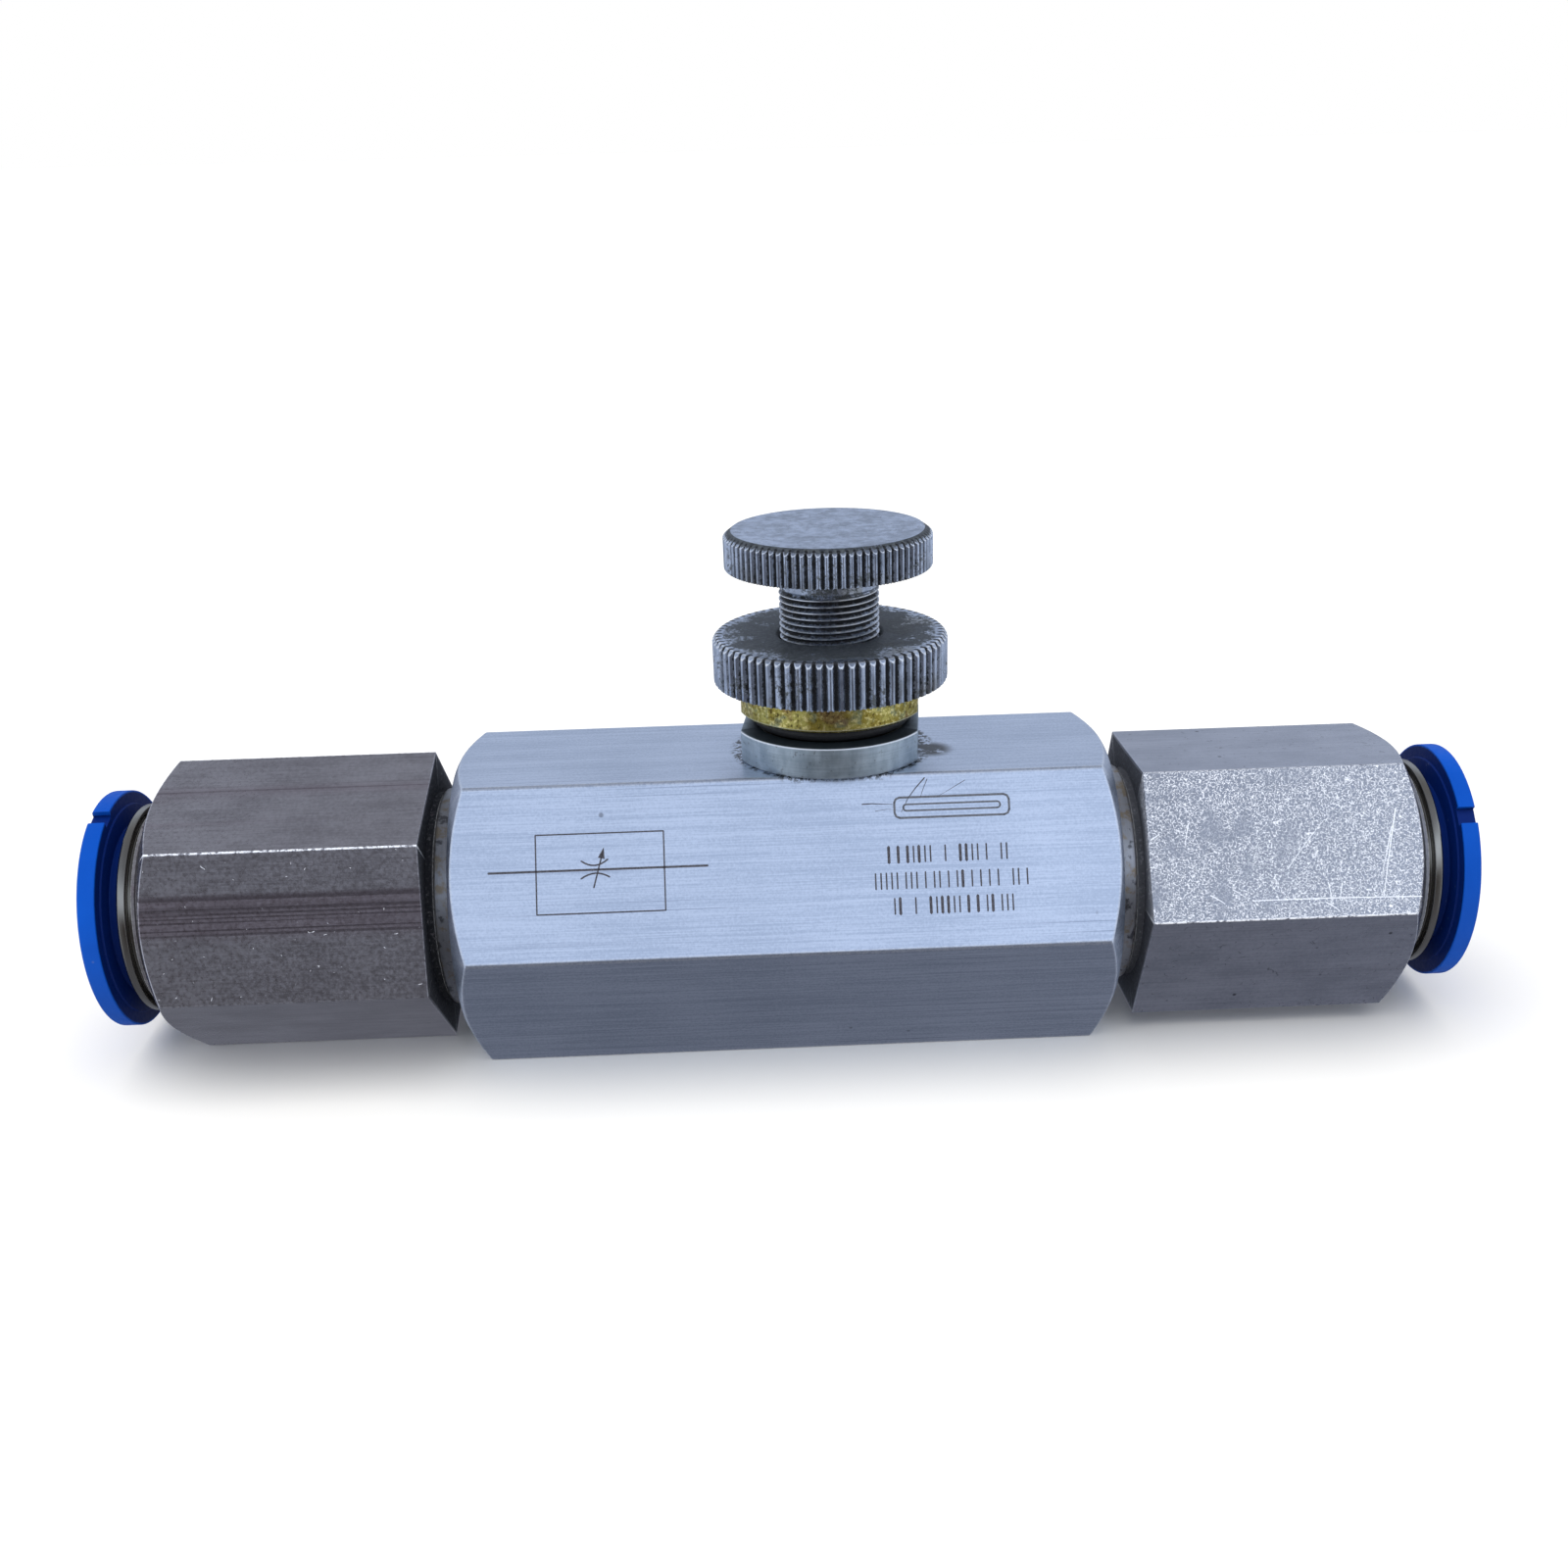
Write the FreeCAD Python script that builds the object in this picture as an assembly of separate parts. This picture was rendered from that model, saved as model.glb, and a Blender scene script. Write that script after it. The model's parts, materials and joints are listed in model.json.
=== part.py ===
import FreeCAD, Part

# In-line flow control valve with a push-in tube fitting at each end, in millimetres.
# +X runs along the flow axis and +Z up the adjusting screw. The origin is the centre of the
# body's bottom flat, on which the valve stands, so the flow axis lies at z = AXIS_Z.
# Along the flow axis a "station" is the distance from the middle of the body, the same for the
# left end (side = -1) and the right end (side = +1).

import math
import os

from FreeCAD import Placement, Rotation, Vector

# ---- driving dimensions -------------------------------------------------------------------

# valve body: hexagonal bar standing on a flat
BODY_FLATS = 24.0
BODY_HALF_LENGTH = 26.35
BODY_EDGE_ROUND = 0.35
BODY_END_RADIUS = 11.4
END_CHAMFER_ANGLE = 30.0
AXIS_Z = BODY_FLATS / 2
TOP_Z = BODY_FLATS

# G1/4 ports and the passages between them, all drawn without thread
PORT_RADIUS = 6.55
PORT_DEPTH = 11.0
PORT_MOUTH_RADIUS = 7.1
PASSAGE_RADIUS = 2.5
PASSAGE_OFFSET = 3.1
CHAMBER_RADIUS = 4.2
SEAT_Z = 12.6
ORIFICE_RADIUS = 2.0

# adjusting screw's axis and the stack of round parts on the top flat
KNOB_X = 4.1
COLLAR_RADIUS = 7.85
COLLAR_TOP_Z = 26.47
FLANGE_RADIUS = 7.5
FLANGE_FOOT_RADIUS = 7.3
FLANGE_BOTTOM_Z = 27.6
FLANGE_TOP_Z = 29.85
BUSH_RADIUS = 6.0
BUSH_STEP_Z = 19.15
BUSH_NOSE_RADIUS = 4.25
BUSH_BOTTOM_Z = 18.2
BUSH_SHOULDER_Z = 18.1
NECK_GROOVE_RADIUS = 5.3
NECK_GROOVE_Z = 26.4
WRENCH_SIZE = 14.0
WRENCH_TURN = -6.1

# M8 x 0.5 thread of the screw, nut and bush, drawn as plain cylinders
THREAD_RADIUS = 3.95
THREAD_BORE_RADIUS = 4.0
THREAD_BORE_BOTTOM_Z = 21.5

# knurled lock nut and knurled head of the screw
NUT_RADIUS = 9.34
NUT_BOTTOM_Z = 29.87
NUT_TOP_Z = 33.64
NUT_GROOVES = 70
NUT_CHAMFER = 0.3
HEAD_RADIUS = 8.165
HEAD_BOTTOM_Z = 38.92
HEAD_TOP_Z = 41.9
HEAD_GROOVES = 81
HEAD_CHAMFER = 0.45
KNURL_DEPTH = 0.32
KNURL_FOOT_CHAMFER = 0.1

# needle, its clip in the foot of the screw, and how far it can close
CLOSING_TRAVEL = 4.0
SEAT_GAP = 0.03
STEM_RADIUS = 2.5
STEM_TOP_Z = 25.5
SCREW_FOOT_Z = 25.6
PIN_RADIUS = 1.6
PIN_TOP_Z = 29.3
PIN_GROOVE_RADIUS = 1.1
PIN_GROOVE_Z = (27.0, 27.7)
CLIP_SLOT_Z = (27.05, 27.65)
CLIP_Z = (27.1, 27.6)
CLIP_RADIUS = 3.3
CLIP_HALF_WIDTH = 2.6
NEEDLE_LAND_RADIUS = 1.95
NEEDLE_TIP_RADIUS = 0.9
NEEDLE_TIP_Z = 11.6
STEM_GROOVE_RADIUS = 3.75
STEM_GROOVE_Z = (19.4, 20.8)
FIT_GAP = 0.05

# O-rings: (radius of the centre line, radius of the section, height)
FLANGE_O_RING = (5.9, 0.56, 27.035)
NEEDLE_O_RING = (3.13, 0.6, 20.1)
BUSH_SEAL_RING = (4.85, 0.5, 18.62)

# push-in fitting: hexagon, stud, mouth and the bores, by station
FITTING_FLATS = 21.0
FITTING_TURNS = {"left": 17.25, "right": -2.95}
HEX_START = 28.5
HEX_END = 50.5
HEX_END_RADIUS = 10.18
COLLAR_START = 27.85
FITTING_COLLAR_RADIUS = 8.7
STUD_END = 18.9
STUD_RADIUS = 6.5
STUD_RELIEF_RADIUS = 5.7
STUD_BORE_RADIUS = 4.0
TUBE_STOP = 33.5
SOCKET_RADIUS = 6.1
SOCKET_END = 42.0
CAVITY_RADIUS = 7.95
MOUTH_END = 51.55
MOUTH_RADIUS = 8.5
WASHER_RADIUS = 9.0
WASHER_BORE_RADIUS = 6.65

# pieces inside the fitting
LINER_RADIUS = 7.9
SEAL_SPAN = (42.05, 44.2)
SEAL_LIP_RADIUS = 5.95
SUPPORT_SPAN = (44.65, 45.35)
SUPPORT_BORE_RADIUS = 7.2
CLAW_RIM_SPAN = (45.4, 45.8)
CLAW_ROOT_RADIUS = 7.1
CLAW_TIP_RADIUS = 5.95
CLAW_TIP_STATION = 44.6
CLAW_THICKNESS = 0.3
CLAW_COUNT = 12
CLAW_SLOT_WIDTH = 0.6
SLEEVE_START = 45.85
SLEEVE_BORE_RADIUS = 7.55
SLEEVE_LIP_RADIUS = 7.2
SLEEVE_LIP_START = 50.2
SLEEVE_FLANGE_SPAN = (52.0, 52.7)
SLEEVE_FLANGE_RADIUS = 8.6

# blue release ring
RING_BORE_RADIUS = 6.15
RING_NOSE_RADIUS = 7.15
RING_NOSE_START = 46.95
RING_BEAD_RADIUS = 7.5
RING_BEAD_SPAN = (49.0, 50.15)
RING_HUB_RADIUS = 8.7
RING_HUB_START = 53.75
RING_FLANGE_START = 53.9
RING_FLANGE_RADIUS = 9.77
RING_END = 55.3
RING_NOTCH_WIDTH = 1.4
RING_NOTCH_DEPTH = 0.55
RING_NOTCH_ANGLES = {"left": 18.0, "right": 46.0}

SIDES = {"left": -1, "right": 1}


# ---- shape helpers --------------------------------------------------------------------------

def turned_upright(outline):
    """Solid of revolution about the screw's axis, from (radius, height) corners."""
    corners = [Vector(KNOB_X + radius, 0, height) for radius, height in outline]
    face = Part.Face(Part.makePolygon(corners + corners[:1]))
    return face.revolve(Vector(KNOB_X, 0, 0), Vector(0, 0, 1), 360)


def turned_along(outline, side):
    """Solid of revolution about the flow axis, from (station, radius) corners."""
    corners = [Vector(side * station, 0, AXIS_Z + radius) for station, radius in outline]
    face = Part.Face(Part.makePolygon(corners + corners[:1]))
    return face.revolve(Vector(0, 0, AXIS_Z), Vector(1, 0, 0), 360)


def cylinder_along(radius, start_x, end_x, height):
    """Cylinder along +X at a height above the bottom flat."""
    return Part.makeCylinder(radius, end_x - start_x, Vector(start_x, 0, height), Vector(1, 0, 0))


def cylinder_up(radius, bottom, top):
    """Cylinder on the screw's axis."""
    return Part.makeCylinder(radius, top - bottom, Vector(KNOB_X, 0, bottom))


def o_ring(centre_radius, section_radius, height):
    """O-ring lying around the screw's axis."""
    return Part.makeTorus(centre_radius, section_radius, Vector(KNOB_X, 0, height), Vector(0, 0, 1))


def hexagon_bar(across_flats, start_x, end_x, turn=0.0):
    """Hexagonal bar on the flow axis with flats on top and bottom, turned about +X by degrees."""
    corner_radius = across_flats / math.sqrt(3)
    corners = []
    for index in range(6):
        angle = math.radians(60 * index + turn)
        y = corner_radius * math.cos(angle)
        z = AXIS_Z + corner_radius * math.sin(angle)
        corners.append(Vector(start_x, y, z))
    face = Part.Face(Part.makePolygon(corners + corners[:1]))
    return face.extrude(Vector(end_x - start_x, 0, 0))


def chamfer_station(end, end_radius, radius):
    """Station at which an end chamfer, starting at end_radius on the end face, reaches a radius."""
    return end - (radius - end_radius) * math.tan(math.radians(END_CHAMFER_ANGLE))


def knurled_disc(radius, grooves, chamfer, bottom, top):
    """Disc on the screw's axis with straight V grooves around its rim."""
    corners = []
    for index in range(2 * grooves):
        angle = math.pi * index / grooves
        reach = radius - KNURL_DEPTH * (index % 2)
        corners.append(Vector(KNOB_X + reach * math.cos(angle), reach * math.sin(angle), bottom))
    face = Part.Face(Part.makePolygon(corners + corners[:1]))
    disc = face.extrude(Vector(0, 0, top - bottom))
    envelope = turned_upright([
        (0, bottom),
        (radius - KNURL_FOOT_CHAMFER, bottom),
        (radius, bottom + KNURL_FOOT_CHAMFER),
        (radius, top - chamfer),
        (radius - chamfer, top),
        (0, top),
    ])
    return disc.common(envelope)


def with_wrench_flats(shape):
    """Keeps what lies between the two parallel wrench flats, a little off square to the flow axis."""
    reach = 2 * COLLAR_RADIUS
    bar = Part.makeBox(WRENCH_SIZE, reach, HEAD_TOP_Z, Vector(-WRENCH_SIZE / 2, -reach / 2, 0))
    bar.rotate(Vector(0, 0, 0), Vector(0, 0, 1), WRENCH_TURN)
    bar.translate(Vector(KNOB_X, 0, 0))
    return shape.common(bar)


def turned_about_screw(shape, angle):
    """Copy of a shape turned about the screw's axis."""
    copy = shape.copy()
    copy.rotate(Vector(KNOB_X, 0, 0), Vector(0, 0, 1), angle)
    return copy


def turned_about_flow(shape, angle):
    """Copy of a shape turned about the flow axis."""
    copy = shape.copy()
    copy.rotate(Vector(0, 0, AXIS_Z), Vector(1, 0, 0), angle)
    return copy


# ---- valve core -----------------------------------------------------------------------------

def make_valve_body():
    """Chamfered hexagonal bar with a port in each end, offset passages and the seat between them."""
    bar = hexagon_bar(BODY_FLATS, -BODY_HALF_LENGTH, BODY_HALF_LENGTH)
    long_edges = [edge for edge in bar.Edges if abs(edge.Length - 2 * BODY_HALF_LENGTH) < 0.01]
    bar = bar.makeFillet(BODY_EDGE_ROUND, long_edges)
    reach = BODY_FLATS
    shoulder = chamfer_station(BODY_HALF_LENGTH, BODY_END_RADIUS, reach)
    envelope = turned_along([
        (-BODY_HALF_LENGTH, 0),
        (-BODY_HALF_LENGTH, BODY_END_RADIUS),
        (-shoulder, reach),
        (shoulder, reach),
        (BODY_HALF_LENGTH, BODY_END_RADIUS),
        (BODY_HALF_LENGTH, 0),
    ], 1)
    body = bar.common(envelope)

    port_bottom = BODY_HALF_LENGTH - PORT_DEPTH
    mouth_depth = PORT_MOUTH_RADIUS - PORT_RADIUS
    bores = []
    for side in SIDES.values():
        bores.append(turned_along([
            (port_bottom, 0),
            (port_bottom, PORT_RADIUS),
            (BODY_HALF_LENGTH - mouth_depth, PORT_RADIUS),
            (BODY_HALF_LENGTH, PORT_MOUTH_RADIUS),
            (BODY_HALF_LENGTH + 1, PORT_MOUTH_RADIUS),
            (BODY_HALF_LENGTH + 1, 0),
        ], side))
    low_passage_z = AXIS_Z - PASSAGE_OFFSET
    high_passage_z = AXIS_Z + PASSAGE_OFFSET
    bores.append(cylinder_along(PASSAGE_RADIUS, -port_bottom - 1, KNOB_X, low_passage_z))
    bores.append(Part.makeSphere(PASSAGE_RADIUS, Vector(KNOB_X, 0, low_passage_z)))
    bores.append(cylinder_along(PASSAGE_RADIUS, KNOB_X, port_bottom + 1, high_passage_z))
    bores.append(cylinder_up(ORIFICE_RADIUS, low_passage_z, SEAT_Z + 1))
    bores.append(cylinder_up(CHAMBER_RADIUS, SEAT_Z, BUSH_SHOULDER_Z + 1))
    bores.append(cylinder_up(BUSH_RADIUS + FIT_GAP, BUSH_SHOULDER_Z, TOP_Z + 1))
    for bore in bores:
        body = body.cut(bore)
    return body


def make_collar_ring():
    """Ring around the bush on the body's top flat, its rim edges broken, with two wrench flats."""
    bore = BUSH_RADIUS + 2 * FIT_GAP
    edge = 0.2
    ring = turned_upright([
        (bore, TOP_Z),
        (COLLAR_RADIUS - edge, TOP_Z),
        (COLLAR_RADIUS, TOP_Z + edge),
        (COLLAR_RADIUS, COLLAR_TOP_Z - edge),
        (COLLAR_RADIUS - edge, COLLAR_TOP_Z),
        (bore, COLLAR_TOP_Z),
    ])
    return with_wrench_flats(ring)


def make_guide_bush():
    """Bush with two wrench flats on its flange, bored for the screw's thread and the needle's stem."""
    stem_bore = STEM_RADIUS + FIT_GAP
    foot_height = FLANGE_RADIUS - FLANGE_FOOT_RADIUS
    bush = turned_upright([
        (THREAD_BORE_RADIUS, FLANGE_TOP_Z),
        (FLANGE_RADIUS, FLANGE_TOP_Z),
        (FLANGE_RADIUS, FLANGE_BOTTOM_Z + foot_height),
        (FLANGE_FOOT_RADIUS, FLANGE_BOTTOM_Z),
        (NECK_GROOVE_RADIUS, FLANGE_BOTTOM_Z),
        (NECK_GROOVE_RADIUS, NECK_GROOVE_Z),
        (BUSH_RADIUS, NECK_GROOVE_Z),
        (BUSH_RADIUS, BUSH_STEP_Z),
        (BUSH_NOSE_RADIUS, BUSH_STEP_Z),
        (BUSH_NOSE_RADIUS, BUSH_BOTTOM_Z),
        (stem_bore, BUSH_BOTTOM_Z),
        (stem_bore, STEM_GROOVE_Z[0]),
        (STEM_GROOVE_RADIUS, STEM_GROOVE_Z[0]),
        (STEM_GROOVE_RADIUS, STEM_GROOVE_Z[1]),
        (stem_bore, STEM_GROOVE_Z[1]),
        (stem_bore, THREAD_BORE_BOTTOM_Z),
        (THREAD_BORE_RADIUS, THREAD_BORE_BOTTOM_Z),
    ])
    return with_wrench_flats(bush)


def make_lock_nut():
    """Knurled nut on the screw's thread, resting on the bush's flange."""
    disc = knurled_disc(NUT_RADIUS, NUT_GROOVES, NUT_CHAMFER, NUT_BOTTOM_Z, NUT_TOP_Z)
    return disc.cut(cylinder_up(THREAD_BORE_RADIUS, NUT_BOTTOM_Z - 1, NUT_TOP_Z + 1))


def make_adjusting_screw():
    """Knurled head on a shank whose foot holds the needle's pin in a slotted blind bore."""
    head = knurled_disc(HEAD_RADIUS, HEAD_GROOVES, HEAD_CHAMFER, HEAD_BOTTOM_Z, HEAD_TOP_Z)
    foot_chamfer = 0.3
    shank = turned_upright([
        (0, SCREW_FOOT_Z),
        (THREAD_RADIUS - foot_chamfer, SCREW_FOOT_Z),
        (THREAD_RADIUS, SCREW_FOOT_Z + foot_chamfer),
        (THREAD_RADIUS, HEAD_BOTTOM_Z + 1),
        (0, HEAD_BOTTOM_Z + 1),
    ])
    screw = head.fuse(shank).removeSplitter()
    screw = screw.cut(cylinder_up(PIN_RADIUS + FIT_GAP, SCREW_FOOT_Z - 1, PIN_TOP_Z + 0.3))
    slot_width = 2 * (CLIP_HALF_WIDTH + FIT_GAP)
    slot_depth = PIN_GROOVE_RADIUS + 2 * FIT_GAP
    slot = Part.makeBox(
        slot_depth + 2 * THREAD_RADIUS,
        slot_width,
        CLIP_SLOT_Z[1] - CLIP_SLOT_Z[0],
        Vector(KNOB_X - slot_depth, -slot_width / 2, CLIP_SLOT_Z[0]),
    )
    return screw.cut(slot)


def make_needle_clip():
    """Horseshoe clip, pushed through the screw's slot into the groove of the needle's pin."""
    height = CLIP_Z[1] - CLIP_Z[0]
    opening = PIN_GROOVE_RADIUS + FIT_GAP
    blank = Part.makeBox(
        opening + CLIP_RADIUS,
        2 * CLIP_HALF_WIDTH,
        height,
        Vector(KNOB_X - opening, -CLIP_HALF_WIDTH, CLIP_Z[0]),
    )
    clip = blank.common(cylinder_up(CLIP_RADIUS, CLIP_Z[0], CLIP_Z[1]))
    mouth = Part.makeBox(
        2 * opening,
        2 * opening,
        height,
        Vector(KNOB_X - 2 * opening, -opening, CLIP_Z[0]),
    )
    clip = clip.cut(mouth)
    return clip.cut(cylinder_up(opening, CLIP_Z[0], CLIP_Z[1]))


def make_throttle_needle():
    """Smooth stem with a sealing cone and a long taper below, and a grooved pin above."""
    cone_foot_z = SEAT_Z + CLOSING_TRAVEL + SEAT_GAP - (ORIFICE_RADIUS - NEEDLE_LAND_RADIUS)
    cone_top_z = cone_foot_z + STEM_RADIUS - NEEDLE_LAND_RADIUS
    return turned_upright([
        (0, NEEDLE_TIP_Z),
        (NEEDLE_TIP_RADIUS, NEEDLE_TIP_Z),
        (NEEDLE_LAND_RADIUS, cone_foot_z),
        (STEM_RADIUS, cone_top_z),
        (STEM_RADIUS, STEM_TOP_Z),
        (PIN_RADIUS, STEM_TOP_Z),
        (PIN_RADIUS, PIN_GROOVE_Z[0]),
        (PIN_GROOVE_RADIUS, PIN_GROOVE_Z[0]),
        (PIN_GROOVE_RADIUS, PIN_GROOVE_Z[1]),
        (PIN_RADIUS, PIN_GROOVE_Z[1]),
        (PIN_RADIUS, PIN_TOP_Z),
        (0, PIN_TOP_Z),
    ])


# ---- push-in fittings -----------------------------------------------------------------------

def make_fitting_body(name, side):
    """Hexagon with a chamfered outer end, a male stud on the valve's side and a stepped bore."""
    start_x, end_x = sorted((side * HEX_START, side * HEX_END))
    hexagon = hexagon_bar(FITTING_FLATS, start_x, end_x, FITTING_TURNS[name])
    reach = FITTING_FLATS
    envelope = turned_along([
        (HEX_START, 0),
        (HEX_START, reach),
        (chamfer_station(HEX_END, HEX_END_RADIUS, reach), reach),
        (HEX_END, HEX_END_RADIUS),
        (HEX_END, 0),
    ], side)
    relief_end = STUD_END + 8
    edge = 0.6
    core = turned_along([
        (STUD_END, 0),
        (STUD_END, STUD_RADIUS - edge),
        (STUD_END + edge, STUD_RADIUS),
        (relief_end, STUD_RADIUS),
        (relief_end, STUD_RELIEF_RADIUS),
        (COLLAR_START, STUD_RELIEF_RADIUS),
        (COLLAR_START, FITTING_COLLAR_RADIUS - 0.15),
        (COLLAR_START + 0.15, FITTING_COLLAR_RADIUS),
        (HEX_START + 1, FITTING_COLLAR_RADIUS),
        (HEX_START + 1, MOUTH_RADIUS),
        (MOUTH_END, MOUTH_RADIUS),
        (MOUTH_END, 0),
    ], side)
    bore = turned_along([
        (STUD_END - 1, 0),
        (STUD_END - 1, STUD_BORE_RADIUS),
        (TUBE_STOP, STUD_BORE_RADIUS),
        (TUBE_STOP, SOCKET_RADIUS),
        (SOCKET_END, SOCKET_RADIUS),
        (SOCKET_END, CAVITY_RADIUS),
        (MOUTH_END + 1, CAVITY_RADIUS),
        (MOUTH_END + 1, 0),
    ], side)
    return hexagon.common(envelope).fuse(core).removeSplitter().cut(bore)


def make_sealing_washer(side):
    """Flat metal sealing ring between the body's end face and the fitting's collar."""
    edge = 0.15
    return turned_along([
        (BODY_HALF_LENGTH, WASHER_BORE_RADIUS),
        (BODY_HALF_LENGTH, WASHER_RADIUS - edge),
        (BODY_HALF_LENGTH + edge, WASHER_RADIUS),
        (COLLAR_START - edge, WASHER_RADIUS),
        (COLLAR_START, WASHER_RADIUS - edge),
        (COLLAR_START, WASHER_BORE_RADIUS),
    ], side)


def make_tube_seal(side):
    """Rubber ring with an inner lip that seals on the tube."""
    start, end = SEAL_SPAN
    middle = (start + end) / 2
    lip_back_radius = 6.5
    return turned_along([
        (start, lip_back_radius),
        (start, LINER_RADIUS),
        (end, LINER_RADIUS),
        (end, lip_back_radius),
        (middle + 0.3, SEAL_LIP_RADIUS),
        (middle - 0.3, SEAL_LIP_RADIUS),
    ], side)


def make_seal_support_ring(side):
    """Plastic spacer that keeps the seal clear of the claws."""
    start, end = SUPPORT_SPAN
    return turned_along([
        (start, SUPPORT_BORE_RADIUS),
        (start, LINER_RADIUS),
        (end, LINER_RADIUS),
        (end, SUPPORT_BORE_RADIUS),
    ], side)


def make_claw_ring(side):
    """Spring-steel ring whose claws lean inwards to the tube, divided by radial slots."""
    start, end = CLAW_RIM_SPAN
    ring = turned_along([
        (start, LINER_RADIUS),
        (end, LINER_RADIUS),
        (end, CLAW_ROOT_RADIUS),
        (CLAW_TIP_STATION + CLAW_THICKNESS, CLAW_TIP_RADIUS),
        (CLAW_TIP_STATION, CLAW_TIP_RADIUS),
        (start, CLAW_ROOT_RADIUS),
    ], side)
    slot_base = min(side * (CLAW_TIP_STATION - 1), side * (end + 1))
    slot = Part.makeBox(
        end + 2 - CLAW_TIP_STATION,
        CLAW_SLOT_WIDTH,
        CLAW_ROOT_RADIUS + CLAW_SLOT_WIDTH / 2,
        Vector(slot_base, -CLAW_SLOT_WIDTH / 2, AXIS_Z),
    )
    for index in range(CLAW_COUNT):
        ring = ring.cut(turned_about_flow(slot, 360 * index / CLAW_COUNT))
    return ring


def make_retaining_sleeve(side):
    """Pressed sleeve that holds the claws and, behind its lip, the release ring's bead."""
    flange_start, flange_end = SLEEVE_FLANGE_SPAN
    edge = 0.12
    return turned_along([
        (SLEEVE_START, SLEEVE_BORE_RADIUS),
        (SLEEVE_START, LINER_RADIUS),
        (flange_start, LINER_RADIUS),
        (flange_start, SLEEVE_FLANGE_RADIUS - edge),
        (flange_start + edge, SLEEVE_FLANGE_RADIUS),
        (flange_end - edge, SLEEVE_FLANGE_RADIUS),
        (flange_end, SLEEVE_FLANGE_RADIUS - edge),
        (flange_end, SLEEVE_LIP_RADIUS),
        (SLEEVE_LIP_START, SLEEVE_LIP_RADIUS),
        (SLEEVE_LIP_START, SLEEVE_BORE_RADIUS),
    ], side)


def make_release_ring(name, side):
    """Plastic ring with a nose that reaches the claws, a retaining bead and a notched flange."""
    edge = 0.2
    lead_in = 0.5
    ring = turned_along([
        (RING_NOSE_START, RING_BORE_RADIUS),
        (RING_NOSE_START, RING_NOSE_RADIUS - edge),
        (RING_NOSE_START + edge, RING_NOSE_RADIUS),
        (RING_BEAD_SPAN[0], RING_NOSE_RADIUS),
        (RING_BEAD_SPAN[0] + edge, RING_BEAD_RADIUS),
        (RING_BEAD_SPAN[1], RING_BEAD_RADIUS),
        (RING_BEAD_SPAN[1], RING_NOSE_RADIUS),
        (RING_HUB_START, RING_NOSE_RADIUS),
        (RING_HUB_START, RING_HUB_RADIUS),
        (RING_FLANGE_START, RING_HUB_RADIUS),
        (RING_FLANGE_START, RING_FLANGE_RADIUS),
        (RING_END, RING_FLANGE_RADIUS),
        (RING_END, RING_BORE_RADIUS + lead_in),
        (RING_END - lead_in, RING_BORE_RADIUS),
    ], side)
    notch_base = min(side * (RING_FLANGE_START - 1), side * (RING_END + 1))
    notch = Part.makeBox(
        RING_END - RING_FLANGE_START + 2,
        RING_NOTCH_WIDTH,
        2 * RING_NOTCH_DEPTH,
        Vector(notch_base, -RING_NOTCH_WIDTH / 2, AXIS_Z + RING_FLANGE_RADIUS - RING_NOTCH_DEPTH),
    )
    for half_turn in (0, 180):
        ring = ring.cut(turned_about_flow(notch, RING_NOTCH_ANGLES[name] + half_turn))
    return ring


# ---- assembly -------------------------------------------------------------------------------

def make_nodes():
    """Every separate piece of the valve, by node name."""
    nodes = {
        "valve_body": make_valve_body(),
        "collar_ring": make_collar_ring(),
        "guide_bush": make_guide_bush(),
        "flange_o_ring": o_ring(*FLANGE_O_RING),
        "needle_o_ring": o_ring(*NEEDLE_O_RING),
        "bush_seal_ring": o_ring(*BUSH_SEAL_RING),
        "lock_nut": make_lock_nut(),
        "adjusting_screw": make_adjusting_screw(),
        "needle_clip": make_needle_clip(),
        "throttle_needle": make_throttle_needle(),
    }
    for name, side in SIDES.items():
        nodes["fitting_body_" + name] = make_fitting_body(name, side)
        nodes["sealing_washer_" + name] = make_sealing_washer(side)
        nodes["tube_seal_" + name] = make_tube_seal(side)
        nodes["seal_support_ring_" + name] = make_seal_support_ring(side)
        nodes["claw_ring_" + name] = make_claw_ring(side)
        nodes["retaining_sleeve_" + name] = make_retaining_sleeve(side)
        nodes["release_ring_" + name] = make_release_ring(name, side)
    return nodes


os.makedirs("parts", exist_ok=True)
for node, shape in make_nodes().items():
    if not shape.isValid() or len(shape.Solids) != 1:
        raise ValueError(node + " is not one valid solid")
    shape.Solids[0].exportStep("parts/" + node + ".step")
    print(node, round(shape.Volume, 2), "mm3")
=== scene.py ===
import json
import math
import random

import bmesh
import bpy
import numpy as np
from mathutils import Matrix, Vector


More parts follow.
